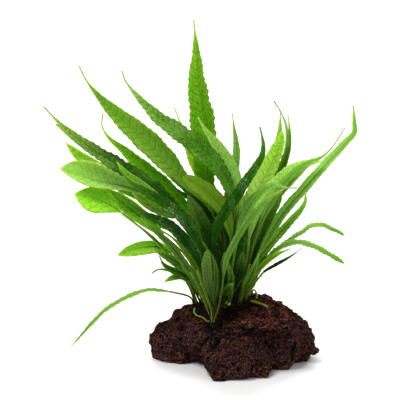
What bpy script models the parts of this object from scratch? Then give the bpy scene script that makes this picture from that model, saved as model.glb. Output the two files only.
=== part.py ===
"""Java fern growing on a lump of lava stone, with its creeping rhizome, fronds and young fronds.

Units are metres, +Z is up. The origin is on the stone's flat underside, at the middle of its
footprint. The viewer stands at -Y: a depth is a place along Y, and a negative one is nearer.
"""

import math
from collections import namedtuple

import bpy
import bmesh
from mathutils import Matrix, Vector, noise
from mathutils.bvhtree import BVHTree

MM = 0.001

# The reference view: a point of it is read in pixels and put at a known depth
PIXEL = 0.625 * MM
VIEW_TILT = math.radians(14)
VIEW_DISTANCE = 1100 * MM
VIEW_CENTRE_PX = (200, 200)
ORIGIN_PX = (235, 363.5)

# Points read between two points of a smooth route
ROUTE_SAMPLES = 24

# Lava stone
LOBE_SEGMENTS = (32, 20)
SOFTEN_PASSES = 3
STONE_VOXEL = 1.7 * MM
STONE_TRIANGLES = 4300
LUMP_SIZE = 11 * MM
LUMP_HEIGHT = 2.8 * MM
GRIT_SIZE = 4.5 * MM
GRIT_HEIGHT = 2.1 * MM
BASE_CUT = 150 * MM

# Clearance between touching pieces
GAP = 0.35 * MM

# Rhizome: knotty, and thinner at its ends
RHIZOME_RADIUS = 2.2 * MM
RHIZOME_STEP = 2.2 * MM
KNOT_SIZE = 4 * MM
KNOT_DEPTH = 0.18
END_RADIUS = 0.55
END_WIDENING = 0.25
PROBE_RINGS = 4
PROBE_TURNS = 8

# Fronds: stalk, folded blade, and how each leaves its rhizome
STALK_HALF = 0.55 * MM
BLADE_HALF_THICK = 0.4 * MM
TIP_HALF = 0.18 * MM
FOLD = 0.16
RING_STEP = 8.5 * MM
FEWEST_RINGS = 9
MOST_RINGS = 18
DEPTH_EASE = 1.1
ROOT_SWING = math.radians(62)
ROOT_REACH = 22 * MM
ROOT_CLEARANCE = 0.22 * MM
FIRST_PULL = 0.6
FIRST_STRETCH = 0.6
LEAST_STALK = 0.1

Finish = namedtuple("Finish", "colour roughness")
Lobe = namedtuple("Lobe", "centre radii")
Rhizome = namedtuple("Rhizome", "name plan")
Frond = namedtuple("Frond", "name tone rhizome along seen depth width stalk blade roll")
Blade = namedtuple("Blade", "full taper")

FINISHES = {
    "stone": Finish((0.075, 0.028, 0.02), 0.9),
    "rhizome": Finish((0.045, 0.05, 0.018), 0.8),
    "frond_deep": Finish((0.02, 0.13, 0.012), 0.35),
    "frond_mid": Finish((0.07, 0.25, 0.02), 0.35),
    "frond_fresh": Finish((0.2, 0.48, 0.03), 0.35),
    "frond_olive": Finish((0.13, 0.29, 0.02), 0.35),
}

# Outlines of a blade: the share of it where it is fullest, and how sharply it tapers from there
DRAWN_OUT = Blade(0.48, 4.2)
LANCE = Blade(0.45, 2.3)
LEAFY = Blade(0.52, 1.5)
BLUNT = Blade(0.6, 1.1)
STRAP = Blade(0.42, 1.15)
LONG_DARK = Blade(0.5, 2.8)
TALLEST = Blade(0.46, 2.8)
CROSSING = Blade(0.45, 3.0)
WHIP = Blade(0.38, 3.6)
POINTED = Blade(0.7, 3.0)
OVATE = Blade(0.57, 2.3)
SPARE = Blade(0.4, 2.6)
SUDDEN = Blade(0.6, 2.2)
SLENDER = Blade(0.4, 1.7)
DRAWN_FULL = Blade(0.51, 4.6)

# Lobes of the stone: centre and half-sizes, in millimetres
LOBES = (
    Lobe((6.5, 8, 17), (38.5, 28, 26)),
    Lobe((-35, 12.5, 10), (19.5, 16.5, 15.5)),
    Lobe((-26, 9.5, 18.5), (18, 18, 17)),
    Lobe((-1.5, -16.5, 13), (19.5, 20, 18)),
    Lobe((-9, -27, 5), (7, 8.5, 7)),
    Lobe((-11.5, -9.5, 23.5), (18, 16.5, 13)),
    Lobe((14.5, -20.5, 6), (8, 8, 8)),
    Lobe((27, -5, 15), (13.5, 15, 18)),
    Lobe((36, 13, 11), (15, 18, 15.5)),
    Lobe((48, 1, 7.5), (6, 6, 4.5)),
    Lobe((-12, 26, 14), (25, 17, 19)),
    Lobe((20, 25, 13), (20, 16, 19)),
    Lobe((15, -21, 33.5), (17, 9, 4)),
)

# The rhizome's three runs, in plan, in millimetres
RHIZOMES = (
    Rhizome("rhizome_main", ((-23.5, 0), (-15, -5), (-7, -7), (2, -7), (10, -5))),
    Rhizome("rhizome_front_fork", ((-9, -10.5), (-10, -17), (-14.5, -24.5))),
    Rhizome("rhizome_back_fork", ((-1, -3.5), (0, 7), (-4, 17))),
)

# Fronds, from the root out: where each leaves its rhizome, where its midrib is seen in the
# reference view, the depth of its tip and its blade's width in millimetres, the share of it
# that is bare stalk, its blade's outline, and its roll in degrees
FRONDS = (
    Frond("frond_left_arching", "frond_mid", 0, 0.0,
          ((190, 297), (175, 292.7), (160, 290.6), (145, 291), (128, 297.3), (110, 307.3),
           (95, 320.5), (71, 347)),
          -10, 6, 0.2, STRAP, 62),
    Frond("frond_left_small_drooping", "frond_fresh", 0, 0.06,
          ((191, 287), (186, 281), (181, 277), (173.5, 277.7), (164.7, 281.7)),
          -10, 4, 0.5, LEAFY, 20),
    Frond("frond_left_low_curled", "frond_mid", 0, 0.1,
          ((192, 282), (182, 274), (172, 270.3), (163.7, 264.7), (159.3, 256)),
          -14, 5.2, 0.2, LANCE, 30),
    Frond("frond_left_low_pointed", "frond_mid", 0, 0.16,
          ((194, 278), (187, 269), (177, 262), (167, 256.5), (157.5, 251.7), (152, 248)),
          -24, 7, 0.2, LANCE, -25),
    Frond("frond_left_low_bright", "frond_fresh", 0, 0.02,
          ((187, 279), (177, 262), (168, 251), (156, 247.5), (142, 248.4), (130, 251.3), (118, 255)),
          8, 9.6, 0.5, LEAFY, 25),
    Frond("frond_left_front", "frond_mid", 1, 0.82,
          ((201, 292), (192.8, 277), (186, 265.5), (179.3, 256), (171.7, 246.2), (162.3, 236.7),
           (152, 227.7), (140, 217.5)),
          -44, 5.4, 0.12, STRAP, -30),
    Frond("frond_left_broad_lower", "frond_fresh", 0, 0.09,
          ((186, 277), (167, 253.5), (149.5, 236), (135.5, 223.5), (120, 212), (106, 204),
           (91, 199.4), (74.3, 194)),
          2, 18.2, 0.7, OVATE, 26),
    Frond("frond_left_olive_outer", "frond_olive", 0, 0.13,
          ((194, 270), (182, 252), (167, 238), (151, 226), (136, 214), (119, 200.5), (102, 188.5)),
          18, 12, 0.5, LEAFY, 35),
    Frond("frond_left_olive_inner", "frond_olive", 0, 0.2,
          ((197, 266), (187, 248), (172, 233), (156, 222.5), (143, 216.5), (132.4, 209.8),
           (125.4, 200.7), (118.5, 191)),
          30, 7.6, 0.55, LEAFY, 30),
    Frond("frond_left_broad_upper", "frond_fresh", 0, 0.18,
          ((204, 268), (197, 248), (187, 230), (172, 214), (153, 199), (132, 187), (112, 180.5),
           (93, 175.6), (76, 170.5), (60, 168.7)),
          3, 17.6, 0.5, POINTED, 28),
    Frond("frond_left_yellow_tip", "frond_fresh", 0, 0.3,
          ((208, 262), (200, 244), (188, 227), (170, 211), (148, 198), (124.5, 186),
           (104.5, 174.8), (89, 164), (76, 153.5), (66, 143)),
          19, 12.5, 0.4, LEAFY, 32),
    Frond("frond_left_glossy", "frond_deep", 1, 0.64,
          ((209, 282), (204, 257), (196, 238), (187, 223), (175, 210), (159, 199), (143, 190),
           (130, 182), (119, 169)),
          -49, 7.5, 0.3, LANCE, -20),
    Frond("frond_left_small_bright", "frond_fresh", 1, 0.32,
          ((205, 276), (195, 249), (186, 229), (172, 211), (157, 198), (143, 187), (128, 175.5),
           (117, 162)),
          -17, 6.6, 0.5, SUDDEN, -15),
    Frond("frond_left_long_dark", "frond_deep", 1, 0.08,
          ((208, 272), (198, 245), (183, 220), (162, 195), (137, 177), (112, 161.7),
           (89.4, 147.2), (65, 128.7), (43, 106)),
          -5, 10.6, 0.2, LONG_DARK, 28),
    Frond("frond_left_hooked", "frond_mid", 0, 0.36,
          ((213, 268), (202, 237), (184.3, 207), (162.6, 184.5), (141.6, 166.5), (123.2, 150),
           (109, 138), (102, 126), (103, 113)),
          20, 11, 0.25, DRAWN_OUT, 32),
    Frond("frond_left_tall", "frond_fresh", 0, 0.525,
          ((224, 262), (216, 225), (203, 204), (185.7, 185), (165.5, 161), (142.6, 138),
           (119.6, 118), (98.8, 96.8), (86, 80), (79, 66)),
          8, 16.2, 0.25, DRAWN_FULL, 28),
    Frond("frond_left_dark_strap", "frond_deep", 0, 0.385,
          ((217, 262), (212, 232), (204, 213), (192, 201), (178, 191), (162, 180)),
          -2, 7, 0.3, LANCE, 55),
    Frond("frond_left_ribbed", "frond_mid", 1, 0.54,
          ((208, 288), (204, 266), (200.5, 247), (197.5, 234), (193.5, 224.5), (187, 217),
           (179.5, 213.5), (170, 213.4), (160, 211), (150, 206.6), (140, 200.7), (132, 192)),
          -33, 6, 0.2, SUDDEN, -22),
    Frond("frond_left_dark_folded", "frond_deep", 1, 0.42,
          ((205, 286), (201.5, 270), (195.5, 256), (187.5, 243), (178, 231.7), (167.7, 223.7),
           (157, 218.5), (147, 215), (137, 209), (128, 203), (117, 193)),
          -23, 8.6, 0.2, SPARE, -35),
    Frond("frond_top_tallest", "frond_mid", 0, 0.46,
          ((221, 262), (212, 225), (206.7, 188), (205, 155), (203, 120), (199.8, 100),
           (197.1, 78), (196.4, 52), (193.8, 20)),
          38, 17.2, 0.25, TALLEST, -25),
    Frond("frond_top_narrow", "frond_fresh", 2, 0.5,
          ((221, 250), (212, 210), (202, 182), (192, 157), (184, 136), (178.3, 118), (174.2, 107.5)),
          50, 7.6, 0.35, DRAWN_OUT, 30),
    Frond("frond_top_olive_blunt", "frond_olive", 0, 0.54,
          ((230, 262), (230.5, 234), (223.3, 210), (210, 195), (196, 185), (183, 177)),
          -15, 11.6, 0.45, BLUNT, 25),
    Frond("frond_top_crossing", "frond_mid", 0, 0.64,
          ((237, 265), (238.5, 226), (231.5, 196.5), (222, 173.5), (204.5, 153.5), (181, 134.3),
           (157.3, 117.2), (139, 98.3), (126, 82), (122, 71)),
          -4, 12.3, 0.3, CROSSING, 22),
    Frond("frond_top_pale_back", "frond_fresh", 0, 0.67,
          ((240, 240), (239, 205), (235, 183), (229.3, 167), (220.8, 152), (212, 139), (204, 128),
           (198, 117)),
          6, 10.5, 0.4, LANCE, 28),
    Frond("frond_centre_dark_broad", "frond_deep", 1, 0.19,
          ((214, 287), (212, 258), (205, 234), (197, 215), (188, 195)),
          -14, 14, 0.15, LEAFY, -20),
    Frond("frond_centre_dark_glossy", "frond_deep", 1, 0.32,
          ((220, 282), (214, 254), (215, 237), (219, 223), (226, 211), (234, 200), (242, 188),
           (249, 177), (256, 167), (262, 156), (263.5, 145), (262, 136), (260, 127)),
          -38, 7.2, 0.3, SLENDER, -25),
    Frond("frond_top_upright", "frond_mid", 0, 0.61,
          ((233, 262), (231, 220), (233.5, 185), (236.6, 160), (236.5, 142), (234, 127),
           (232.4, 113)),
          22, 9, 0.35, LANCE, -50),
    Frond("frond_top_dark_inner", "frond_deep", 2, 0.15,
          ((228, 260), (220, 220), (212, 196), (206, 180), (201, 165)),
          28, 9, 0.4, LEAFY, 30),
    Frond("frond_centre_dark_short", "frond_deep", 0, 0.43,
          ((224, 275), (229, 245), (228, 218), (225, 192)),
          -6.5, 10, 0.2, LEAFY, 30),
    Frond("frond_front_spotted", "frond_mid", 1, 0.74,
          ((212, 298), (209, 284), (207, 272), (207, 262), (208, 250)),
          -44, 6.5, 0.15, BLUNT, -18),
    Frond("frond_front_narrow", "frond_mid", 1, 0.92,
          ((217, 294), (216, 280), (215, 268), (211, 256), (203, 242)),
          -34, 4.5, 0.2, LANCE, -20),
    Frond("frond_front_long", "frond_mid", 1, 1.0,
          ((219, 305), (222, 288), (224, 272), (226, 261), (231, 249), (240, 233), (249, 219),
           (259, 208), (271, 197), (285, 188)),
          -52, 4.5, 0.3, STRAP, -22),
    Frond("frond_front_right", "frond_mid", 0, 0.76,
          ((241, 297), (245, 287), (251, 275), (256, 263), (259, 253)),
          -30, 6, 0.12, LANCE, 25),
    Frond("frond_right_bright_broad", "frond_fresh", 0, 0.73,
          ((241, 262), (242, 235), (248, 210), (256, 193), (264, 178), (271, 164), (277, 150),
           (281, 139), (282, 130)),
          14, 13, 0.35, LEAFY, -28),
    Frond("frond_right_upright_dark", "frond_mid", 0, 0.84,
          ((252, 262), (262, 228), (272, 197), (279, 178), (285.5, 160), (289.5, 142),
           (289.5, 128), (288, 115)),
          26, 9, 0.3, LANCE, -50),
    Frond("frond_right_pale_tip", "frond_fresh", 2, 0.03,
          ((246, 250), (257, 210), (270, 175), (279, 140), (280.5, 110)),
          42, 7.6, 0.4, LANCE, -35),
    Frond("frond_right_arched_pale", "frond_fresh", 0, 0.79,
          ((246, 262), (251, 228), (259, 207), (268, 194), (279, 182), (290, 172), (304, 164.5),
           (321, 161)),
          -14, 9.6, 0.35, LEAFY, -30),
    Frond("frond_right_light_inner", "frond_fresh", 2, 0.25,
          ((248, 255), (259, 222), (269, 204), (280, 191), (291.4, 180.6), (302.4, 171.4),
           (311.5, 164)),
          24, 9, 0.35, LANCE, -35),
    Frond("frond_right_whip_tip", "frond_mid", 0, 0.86,
          ((248, 268), (256, 237), (268, 208), (287, 180), (306, 164), (322, 157), (333.3, 145.5),
           (345, 128)),
          -31, 7, 0.3, WHIP, -45),
    Frond("frond_right_hooked", "frond_deep", 1, 0.0,
          ((231, 272), (240, 228), (250, 205), (260, 193), (268, 187), (276, 184.5), (284, 187.5),
           (297, 188)),
          -38, 6.5, 0.35, LANCE, -35),
    Frond("frond_right_long_kinked", "frond_mid", 0, 0.92,
          ((252, 282), (259, 258), (271, 233), (285, 210.5), (301.7, 191.5), (318.4, 172.3),
           (331.5, 157.8), (345.5, 142.8), (354.2, 133), (354.5, 122), (353.3, 105.5)),
          -10, 6.8, 0.12, STRAP, -28),
    Frond("frond_right_short_curved", "frond_mid", 0, 0.89,
          ((249, 280), (257, 261), (266.5, 248.5), (280.7, 231.7), (292.7, 218.5), (300.7, 209.3),
           (305, 201.5), (305.5, 192)),
          -34, 5.6, 0.2, STRAP, 25),
    Frond("frond_right_arching_upper", "frond_mid", 0, 0.98,
          ((252, 284), (264, 265), (278, 249.5), (290.5, 239.7), (303.5, 231.4), (311, 226.4),
           (321, 225.2), (332, 229.3), (344, 235)),
          22, 5.6, 0.25, STRAP, -58),
    Frond("frond_right_arching_lower", "frond_mid", 0, 1.0,
          ((251, 286), (262, 267), (272, 254), (284.5, 245.8), (298, 242.5), (313, 246.4),
           (329, 254.7), (344, 263.3)),
          -4, 6, 0.25, STRAP, -55),
    Frond("frond_right_low_fresh", "frond_fresh", 0, 0.95,
          ((250, 287), (257, 272), (267, 261), (279, 253.5), (290, 249)),
          -22, 4.5, 0.25, LANCE, -30),
    Frond("frond_right_low_dark", "frond_deep", 0, 0.97,
          ((253, 286), (263, 273), (276, 265), (290, 257), (302, 248)),
          8, 4.5, 0.2, LANCE, -62),
    Frond("frond_right_mid_broad", "frond_mid", 0, 0.82,
          ((248, 280), (253, 255), (260, 233), (269.2, 214.2), (276.8, 201.2), (281.7, 187)),
          2, 10, 0.2, LEAFY, -25),
    Frond("frond_right_inner_dark", "frond_deep", 0, 0.7,
          ((242, 277), (248, 247), (258, 222), (268, 198)),
          -8, 8.5, 0.2, LEAFY, 10),
    Frond("frond_right_inner_low", "frond_deep", 0, 0.588,
          ((234, 279), (237, 247), (243, 222), (252, 202)),
          -10, 8, 0.2, LEAFY, -15),
    Frond("frond_back_upright", "frond_mid", 2, 0.35,
          ((232, 255), (235, 220), (237, 190), (236, 165)),
          58, 12, 0.35, LANCE, 45),
    Frond("frond_back_left", "frond_mid", 2, 0.9,
          ((218, 265), (204, 235), (188, 215), (172, 202)),
          66, 13.5, 0.35, LEAFY, 40),
    Frond("frond_back_right", "frond_deep", 2, 0.7,
          ((240, 265), (250, 235), (260, 210), (268, 190)),
          62, 13.5, 0.35, LEAFY, -40),
    Frond("frond_back_arching", "frond_fresh", 2, 1.0,
          ((226, 270), (226, 245), (222, 232), (216, 236)),
          84, 9.5, 0.3, LEAFY, 20),
    Frond("frond_front_short", "frond_mid", 1, 0.13,
          ((223, 298), (226, 291), (233, 283)),
          -32, 5.5, 0.2, LEAFY, 5),
    Frond("young_frond_left_curl", "frond_fresh", 1, 0.97,
          ((207, 321), (202, 317), (196, 315), (194, 311), (195, 308)),
          -26, 1.2, 0.9, BLUNT, 0),
    Frond("young_frond_front_curl", "frond_fresh", 1, 0.25,
          ((225, 307), (226, 304), (228, 303), (230, 305)),
          -22, 2.6, 0.5, BLUNT, 0),
)


def view_axes():
    """Return the reference view's eye and its right, up and forward directions."""
    right = Vector((1, 0, 0))
    forward = Vector((0, math.cos(VIEW_TILT), -math.sin(VIEW_TILT)))
    up = right.cross(forward)
    aside = (ORIGIN_PX[0] - VIEW_CENTRE_PX[0]) * PIXEL
    above = (ORIGIN_PX[1] - VIEW_CENTRE_PX[1]) * PIXEL
    eye = up * above - right * aside - forward * VIEW_DISTANCE
    return eye, right, up, forward


def view_point(pixel, depth):
    """Return the point at that depth which the reference view shows at that pixel."""
    eye, right, up, forward = view_axes()
    across = (pixel[0] - VIEW_CENTRE_PX[0]) * PIXEL / VIEW_DISTANCE
    down = (pixel[1] - VIEW_CENTRE_PX[1]) * PIXEL / VIEW_DISTANCE
    ray = forward + right * across - up * down
    return eye + ray * ((depth - eye.y) / ray.y)


def smooth_route(points, step):
    """Return points evenly spaced along a smooth curve through the given ones."""
    ends = [points[0] * 2 - points[1], *points, points[-1] * 2 - points[-2]]
    fine = []
    for before, start, end, after in zip(ends, ends[1:], ends[2:], ends[3:]):
        for i in range(ROUTE_SAMPLES):
            t = i / ROUTE_SAMPLES
            fine.append(0.5 * (
                2 * start
                + (end - before) * t
                + (2 * before - 5 * start + 4 * end - after) * t**2
                + (3 * start - before - 3 * end + after) * t**3
            ))
    fine.append(points[-1])
    lengths = [0.0]
    for a, b in zip(fine, fine[1:]):
        lengths.append(lengths[-1] + (b - a).length)
    total = lengths[-1]
    count = max(2, round(total / step) + 1)
    route = []
    k = 0
    for i in range(count):
        wanted = total * i / (count - 1)
        while k < len(fine) - 2 and lengths[k + 1] < wanted:
            k += 1
        share = (wanted - lengths[k]) / max(lengths[k + 1] - lengths[k], 1e-12)
        route.append(fine[k].lerp(fine[k + 1], min(max(share, 0.0), 1.0)))
    return route, total


def material(tone):
    """Return the plain finish of that name."""
    made = bpy.data.materials.get(tone) or bpy.data.materials.new(tone)
    made.use_nodes = True
    shader = made.node_tree.nodes["Principled BSDF"]
    shader.inputs["Base Color"].default_value = (*FINISHES[tone].colour, 1)
    shader.inputs["Roughness"].default_value = FINISHES[tone].roughness
    shader.inputs["Metallic"].default_value = 0
    return made


def add_object(name, data, tone, collection):
    """Put a mesh or curve in the collection under that name, with its finish."""
    obj = bpy.data.objects.new(name, data)
    collection.objects.link(obj)
    data.materials.append(material(tone))
    return obj


def lava_texture(name, size):
    """Return a cloudy noise texture with features of that size."""
    texture = bpy.data.textures.new(name, "CLOUDS")
    texture.noise_scale = size
    texture.noise_depth = 2
    return texture


def build_stone(parts, cutters):
    """Return the lava stone: lobes melted together, roughened, and cut flat underneath."""
    shape = bmesh.new()
    around, upward = LOBE_SEGMENTS
    for lobe in LOBES:
        place = Matrix.Translation(Vector(lobe.centre) * MM)
        form = place @ Matrix.Diagonal((*(Vector(lobe.radii) * MM), 1))
        bmesh.ops.create_uvsphere(shape, u_segments=around, v_segments=upward, radius=1, matrix=form)
    mesh = bpy.data.meshes.new("lava_stone")
    shape.to_mesh(mesh)
    shape.free()
    stone = add_object("lava_stone", mesh, "stone", parts)

    melt = stone.modifiers.new("melt", "REMESH")
    melt.mode = "VOXEL"
    melt.voxel_size = STONE_VOXEL
    soften = stone.modifiers.new("soften", "SMOOTH")
    soften.iterations = SOFTEN_PASSES
    for name, size, height in (("lumps", LUMP_SIZE, LUMP_HEIGHT), ("grit", GRIT_SIZE, GRIT_HEIGHT)):
        rough = stone.modifiers.new(name, "DISPLACE")
        rough.texture = lava_texture(name, size)
        rough.strength = height * 2
        rough.mid_level = 0.5

    cutter = bmesh.new()
    bmesh.ops.create_cube(cutter, size=BASE_CUT, matrix=Matrix.Translation((0, 0, -BASE_CUT / 2)))
    cut_mesh = bpy.data.meshes.new("base_cut")
    cutter.to_mesh(cut_mesh)
    cutter.free()
    base = bpy.data.objects.new("base_cut", cut_mesh)
    base.hide_render = True
    base.display_type = "WIRE"
    cutters.objects.link(base)

    bpy.context.view_layer.update()
    count = len(stone.evaluated_get(bpy.context.evaluated_depsgraph_get()).data.polygons) * 2
    thin = stone.modifiers.new("thin", "DECIMATE")
    thin.ratio = min(1.0, STONE_TRIANGLES / count)
    flat = stone.modifiers.new("flat_base", "BOOLEAN")
    flat.operation = "DIFFERENCE"
    flat.object = base
    return stone


def height_over(surface, x, y, radius):
    """Return how high a ball's centre lies when it rests on the surface at x, y."""
    highest = 0.0
    for ring in range(PROBE_RINGS + 1):
        reach = radius * ring / PROBE_RINGS
        for turn in range(PROBE_TURNS if ring else 1):
            angle = math.tau * turn / PROBE_TURNS
            above = Vector((x + reach * math.cos(angle), y + reach * math.sin(angle), BASE_CUT))
            hit = surface.ray_cast(above, Vector((0, 0, -1)))[0]
            if hit is not None:
                highest = max(highest, hit.z + math.sqrt(max(radius**2 - reach**2, 0.0)))
    return highest


def build_rhizome(rhizome, surface, parts):
    """Return one run of the rhizome as its route, lying on the stone."""
    plan = [Vector((x * MM, y * MM, 0)) for x, y in rhizome.plan]
    route, _ = smooth_route(plan, RHIZOME_STEP)
    for point in route:
        point.z = height_over(surface, point.x, point.y, RHIZOME_RADIUS + GAP)
    eased = [p.copy() for p in route]
    for i, point in enumerate(eased):
        point.z = max(q.z for q in route[max(i - 1, 0):i + 2])

    curve = bpy.data.curves.new(rhizome.name, "CURVE")
    curve.dimensions = "3D"
    curve.bevel_depth = RHIZOME_RADIUS
    curve.bevel_resolution = 2
    curve.use_fill_caps = True
    spline = curve.splines.new("POLY")
    spline.points.add(len(eased) - 1)
    for i, point in enumerate(eased):
        spline.points[i].co = (*point, 1)
        knot = 1 - KNOT_DEPTH * (0.5 - 0.5 * noise.noise(point / KNOT_SIZE))
        ends = min(1.0, END_RADIUS + END_WIDENING * min(i, len(eased) - 1 - i))
        spline.points[i].radius = ends * knot
    add_object(rhizome.name, curve, "rhizome", parts)
    return eased


def frond_route(frond, runs):
    """Return the frond's midrib, from its rhizome to its tip, and its length."""
    run = runs[frond.rhizome]
    place = frond.along * (len(run) - 1)
    low = min(int(place), len(run) - 2)
    centre = run[low].lerp(run[low + 1], place - low)
    axis = (run[low + 1] - run[low]).normalized()

    upward = (Vector((0, 0, 1)) - axis * axis.z).normalized()
    first = view_point(frond.seen[0], centre.y)
    outward = (first - centre) * FIRST_PULL + Vector((0, frond.depth * MM - centre.y, 0))
    outward -= axis * outward.dot(axis) + upward * outward.dot(upward)
    swing = ROOT_SWING * math.tanh(outward.length / ROOT_REACH)
    lean = upward * math.cos(swing) + outward.normalized() * math.sin(swing)
    root = centre + lean * (RHIZOME_RADIUS + GAP + ROOT_CLEARANCE)

    reach = [0.0]
    for a, b in zip(frond.seen, frond.seen[1:]):
        reach.append(reach[-1] + math.dist(a, b))
    start = math.dist(frond.seen[0], frond.seen[1]) * FIRST_STRETCH
    points = [root]
    for pixel, along in zip(frond.seen, reach):
        share = (along + start) / (reach[-1] + start)
        depth = root.y + (frond.depth * MM - root.y) * share**DEPTH_EASE
        points.append(view_point(pixel, depth))
    _, total = smooth_route(points, RING_STEP)
    rings = min(max(round(total / RING_STEP) + 1, FEWEST_RINGS), MOST_RINGS)
    return smooth_route(points, total / (rings - 1))


def blade_half(frond, share):
    """Return the frond's half width at a share of its length: a stalk, then a lance-shaped blade."""
    t = (share - frond.stalk) / (1 - frond.stalk)
    if t <= 0:
        return STALK_HALF
    full, taper = frond.blade
    rise = (t / full) ** (full * taper)
    fall = (max(1 - t, 0) / (1 - full)) ** ((1 - full) * taper)
    half = frond.width * MM / 2 * rise * fall
    return max(half, STALK_HALF * (1 - t) + TIP_HALF * t)


def build_frond(frond, runs, parts):
    """Build one frond as a loft of four-cornered sections along its midrib."""
    route, _ = frond_route(frond, runs)
    eye = view_axes()[0]
    shape = bmesh.new()
    rings = []
    for i, point in enumerate(route):
        share = i / (len(route) - 1)
        tangent = (route[min(i + 1, len(route) - 1)] - route[max(i - 1, 0)]).normalized()
        facing = eye - point
        facing = (facing - tangent * facing.dot(tangent)).normalized()
        facing.rotate(Matrix.Rotation(math.radians(frond.roll), 3, tangent))
        side = tangent.cross(facing)
        half = blade_half(frond, share)
        stalkiness = max(0.0, 1 - share / max(frond.stalk, LEAST_STALK))
        thick = min(BLADE_HALF_THICK + (STALK_HALF - BLADE_HALF_THICK) * stalkiness, half)
        raised = facing * (half - thick) * FOLD
        rings.append([
            shape.verts.new(point - side * half + raised),
            shape.verts.new(point + facing * thick),
            shape.verts.new(point + side * half + raised),
            shape.verts.new(point - facing * thick),
        ])
    for ring, following in zip(rings, rings[1:]):
        for k in range(4):
            shape.faces.new((ring[k], ring[(k + 1) % 4], following[(k + 1) % 4], following[k]))
    shape.faces.new(rings[0][::-1])
    shape.faces.new(rings[-1])
    bmesh.ops.recalc_face_normals(shape, faces=shape.faces)
    mesh = bpy.data.meshes.new(frond.name)
    shape.to_mesh(mesh)
    shape.free()
    add_object(frond.name, mesh, frond.tone, parts)


def main():
    """Clear the scene and build the stone, the rhizome and the fronds."""
    for obj in list(bpy.data.objects):
        bpy.data.objects.remove(obj)
    parts = bpy.data.collections.new("java_fern_on_stone")
    cutters = bpy.data.collections.new("cutters")
    for collection in (parts, cutters):
        bpy.context.scene.collection.children.link(collection)

    stone = build_stone(parts, cutters)
    bpy.context.view_layer.update()
    surface = BVHTree.FromObject(stone, bpy.context.evaluated_depsgraph_get())
    runs = [build_rhizome(rhizome, surface, parts) for rhizome in RHIZOMES]
    for frond in FRONDS:
        build_frond(frond, runs, parts)


main()
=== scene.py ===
"""Java fern on lava stone: the looks that go around its solids.

Units are metres and +Z is up. The origin is on the stone's flat underside, and the viewer stands at
-Y. A frond's midrib is read in the reference view, in pixels of a 400 x 400 picture, and put at a
known depth, as its solid's is.
"""

from __future__ import annotations

import logging
import math
import random
from collections.abc import Iterator
from contextlib import contextmanager
from dataclasses import dataclass, field
from enum import Enum

import bmesh
import bpy
import numpy as np
from mathutils import Matrix, Vector, noise
from mathutils.bvhtree import BVHTree


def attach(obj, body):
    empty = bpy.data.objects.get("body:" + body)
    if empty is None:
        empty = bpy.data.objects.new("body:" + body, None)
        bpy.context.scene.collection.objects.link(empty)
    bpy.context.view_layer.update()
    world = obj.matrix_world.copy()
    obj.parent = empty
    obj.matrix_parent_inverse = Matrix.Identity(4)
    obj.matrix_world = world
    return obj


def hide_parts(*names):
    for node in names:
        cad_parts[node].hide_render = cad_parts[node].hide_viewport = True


logging.basicConfig(level=logging.INFO, format="%(message)s")
log = logging.getLogger("java_fern")

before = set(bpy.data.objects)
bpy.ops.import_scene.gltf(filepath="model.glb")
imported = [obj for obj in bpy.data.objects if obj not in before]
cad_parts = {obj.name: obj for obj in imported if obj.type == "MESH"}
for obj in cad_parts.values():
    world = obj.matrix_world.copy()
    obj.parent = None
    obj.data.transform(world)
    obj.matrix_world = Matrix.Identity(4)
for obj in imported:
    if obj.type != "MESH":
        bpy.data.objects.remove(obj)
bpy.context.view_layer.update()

MM = 0.001
DOWN = Vector((0, 0, -1))
Colour = tuple[float, float, float]
Pixel = tuple[float, float]
Route = list[Vector]


def srgb(red: float, green: float, blue: float) -> Colour:
    """Return a colour given in 0 to 255 as linear values.

    Args:
        red: Red, as a screen shows it.
        green: Green, as a screen shows it.
        blue: Blue, as a screen shows it.

    Returns:
        The three linear values that a shader takes.
    """
    return tuple(((c / 255 + 0.055) / 1.055) ** 2.4 if c > 10 else c / 255 / 12.92
                 for c in (red, green, blue))


def ramp(value: float, start: float, length: float) -> float:
    """Return 0 up to a start, 1 from a length beyond it, and a straight rise between."""
    return min(1.0, max(0.0, (value - start) / length))


# The reference view


@dataclass(frozen=True)
class ReferenceView:
    """The view from which the fern is read: how a pixel and a depth give a point."""

    pixel: float = 0.625 * MM
    tilt: float = math.radians(14)
    distance: float = 1100 * MM
    width: int = 400
    centre: Pixel = (200, 200)
    origin: Pixel = (235, 363.5)
    sensor: float = 36.0
    far_clip: float = 50.0

    def axes(self) -> tuple[Vector, Vector, Vector, Vector]:
        """Work out where the eye is and which way it looks.

        Returns:
            The eye, and the view's right, up and forward directions.
        """
        right = Vector((1, 0, 0))
        forward = Vector((0, math.cos(self.tilt), -math.sin(self.tilt)))
        up = right.cross(forward)
        aside = (self.origin[0] - self.centre[0]) * self.pixel
        above = (self.origin[1] - self.centre[1]) * self.pixel
        return up * above - right * aside - forward * self.distance, right, up, forward

    def point(self, pixel: Pixel, depth: float) -> Vector:
        """Return the point that the view shows at a pixel.

        Args:
            pixel: Its column and row in the picture.
            depth: The point's place along Y, in metres.

        Returns:
            The point, in metres.
        """
        eye, right, up, forward = self.axes()
        across = (pixel[0] - self.centre[0]) * self.pixel / self.distance
        down = (pixel[1] - self.centre[1]) * self.pixel / self.distance
        ray = forward + right * across - up * down
        return eye + ray * ((depth - eye.y) / ray.y)

    def camera(self) -> bpy.types.Object:
        """Build the camera that looks along this view.

        Returns:
            The camera.
        """
        eye, right, up, forward = self.axes()
        data = bpy.data.cameras.new("reference_camera")
        data.sensor_width = self.sensor
        data.lens = self.sensor * self.distance / (self.width * self.pixel)
        data.clip_end = self.far_clip
        camera = add_object("reference_camera", data)
        turn = Matrix((right, up, -forward)).transposed().to_4x4()
        camera.matrix_world = Matrix.Translation(eye) @ turn
        return camera


VIEW = ReferenceView()


# Nodes, for materials and for Geometry Nodes


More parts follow.
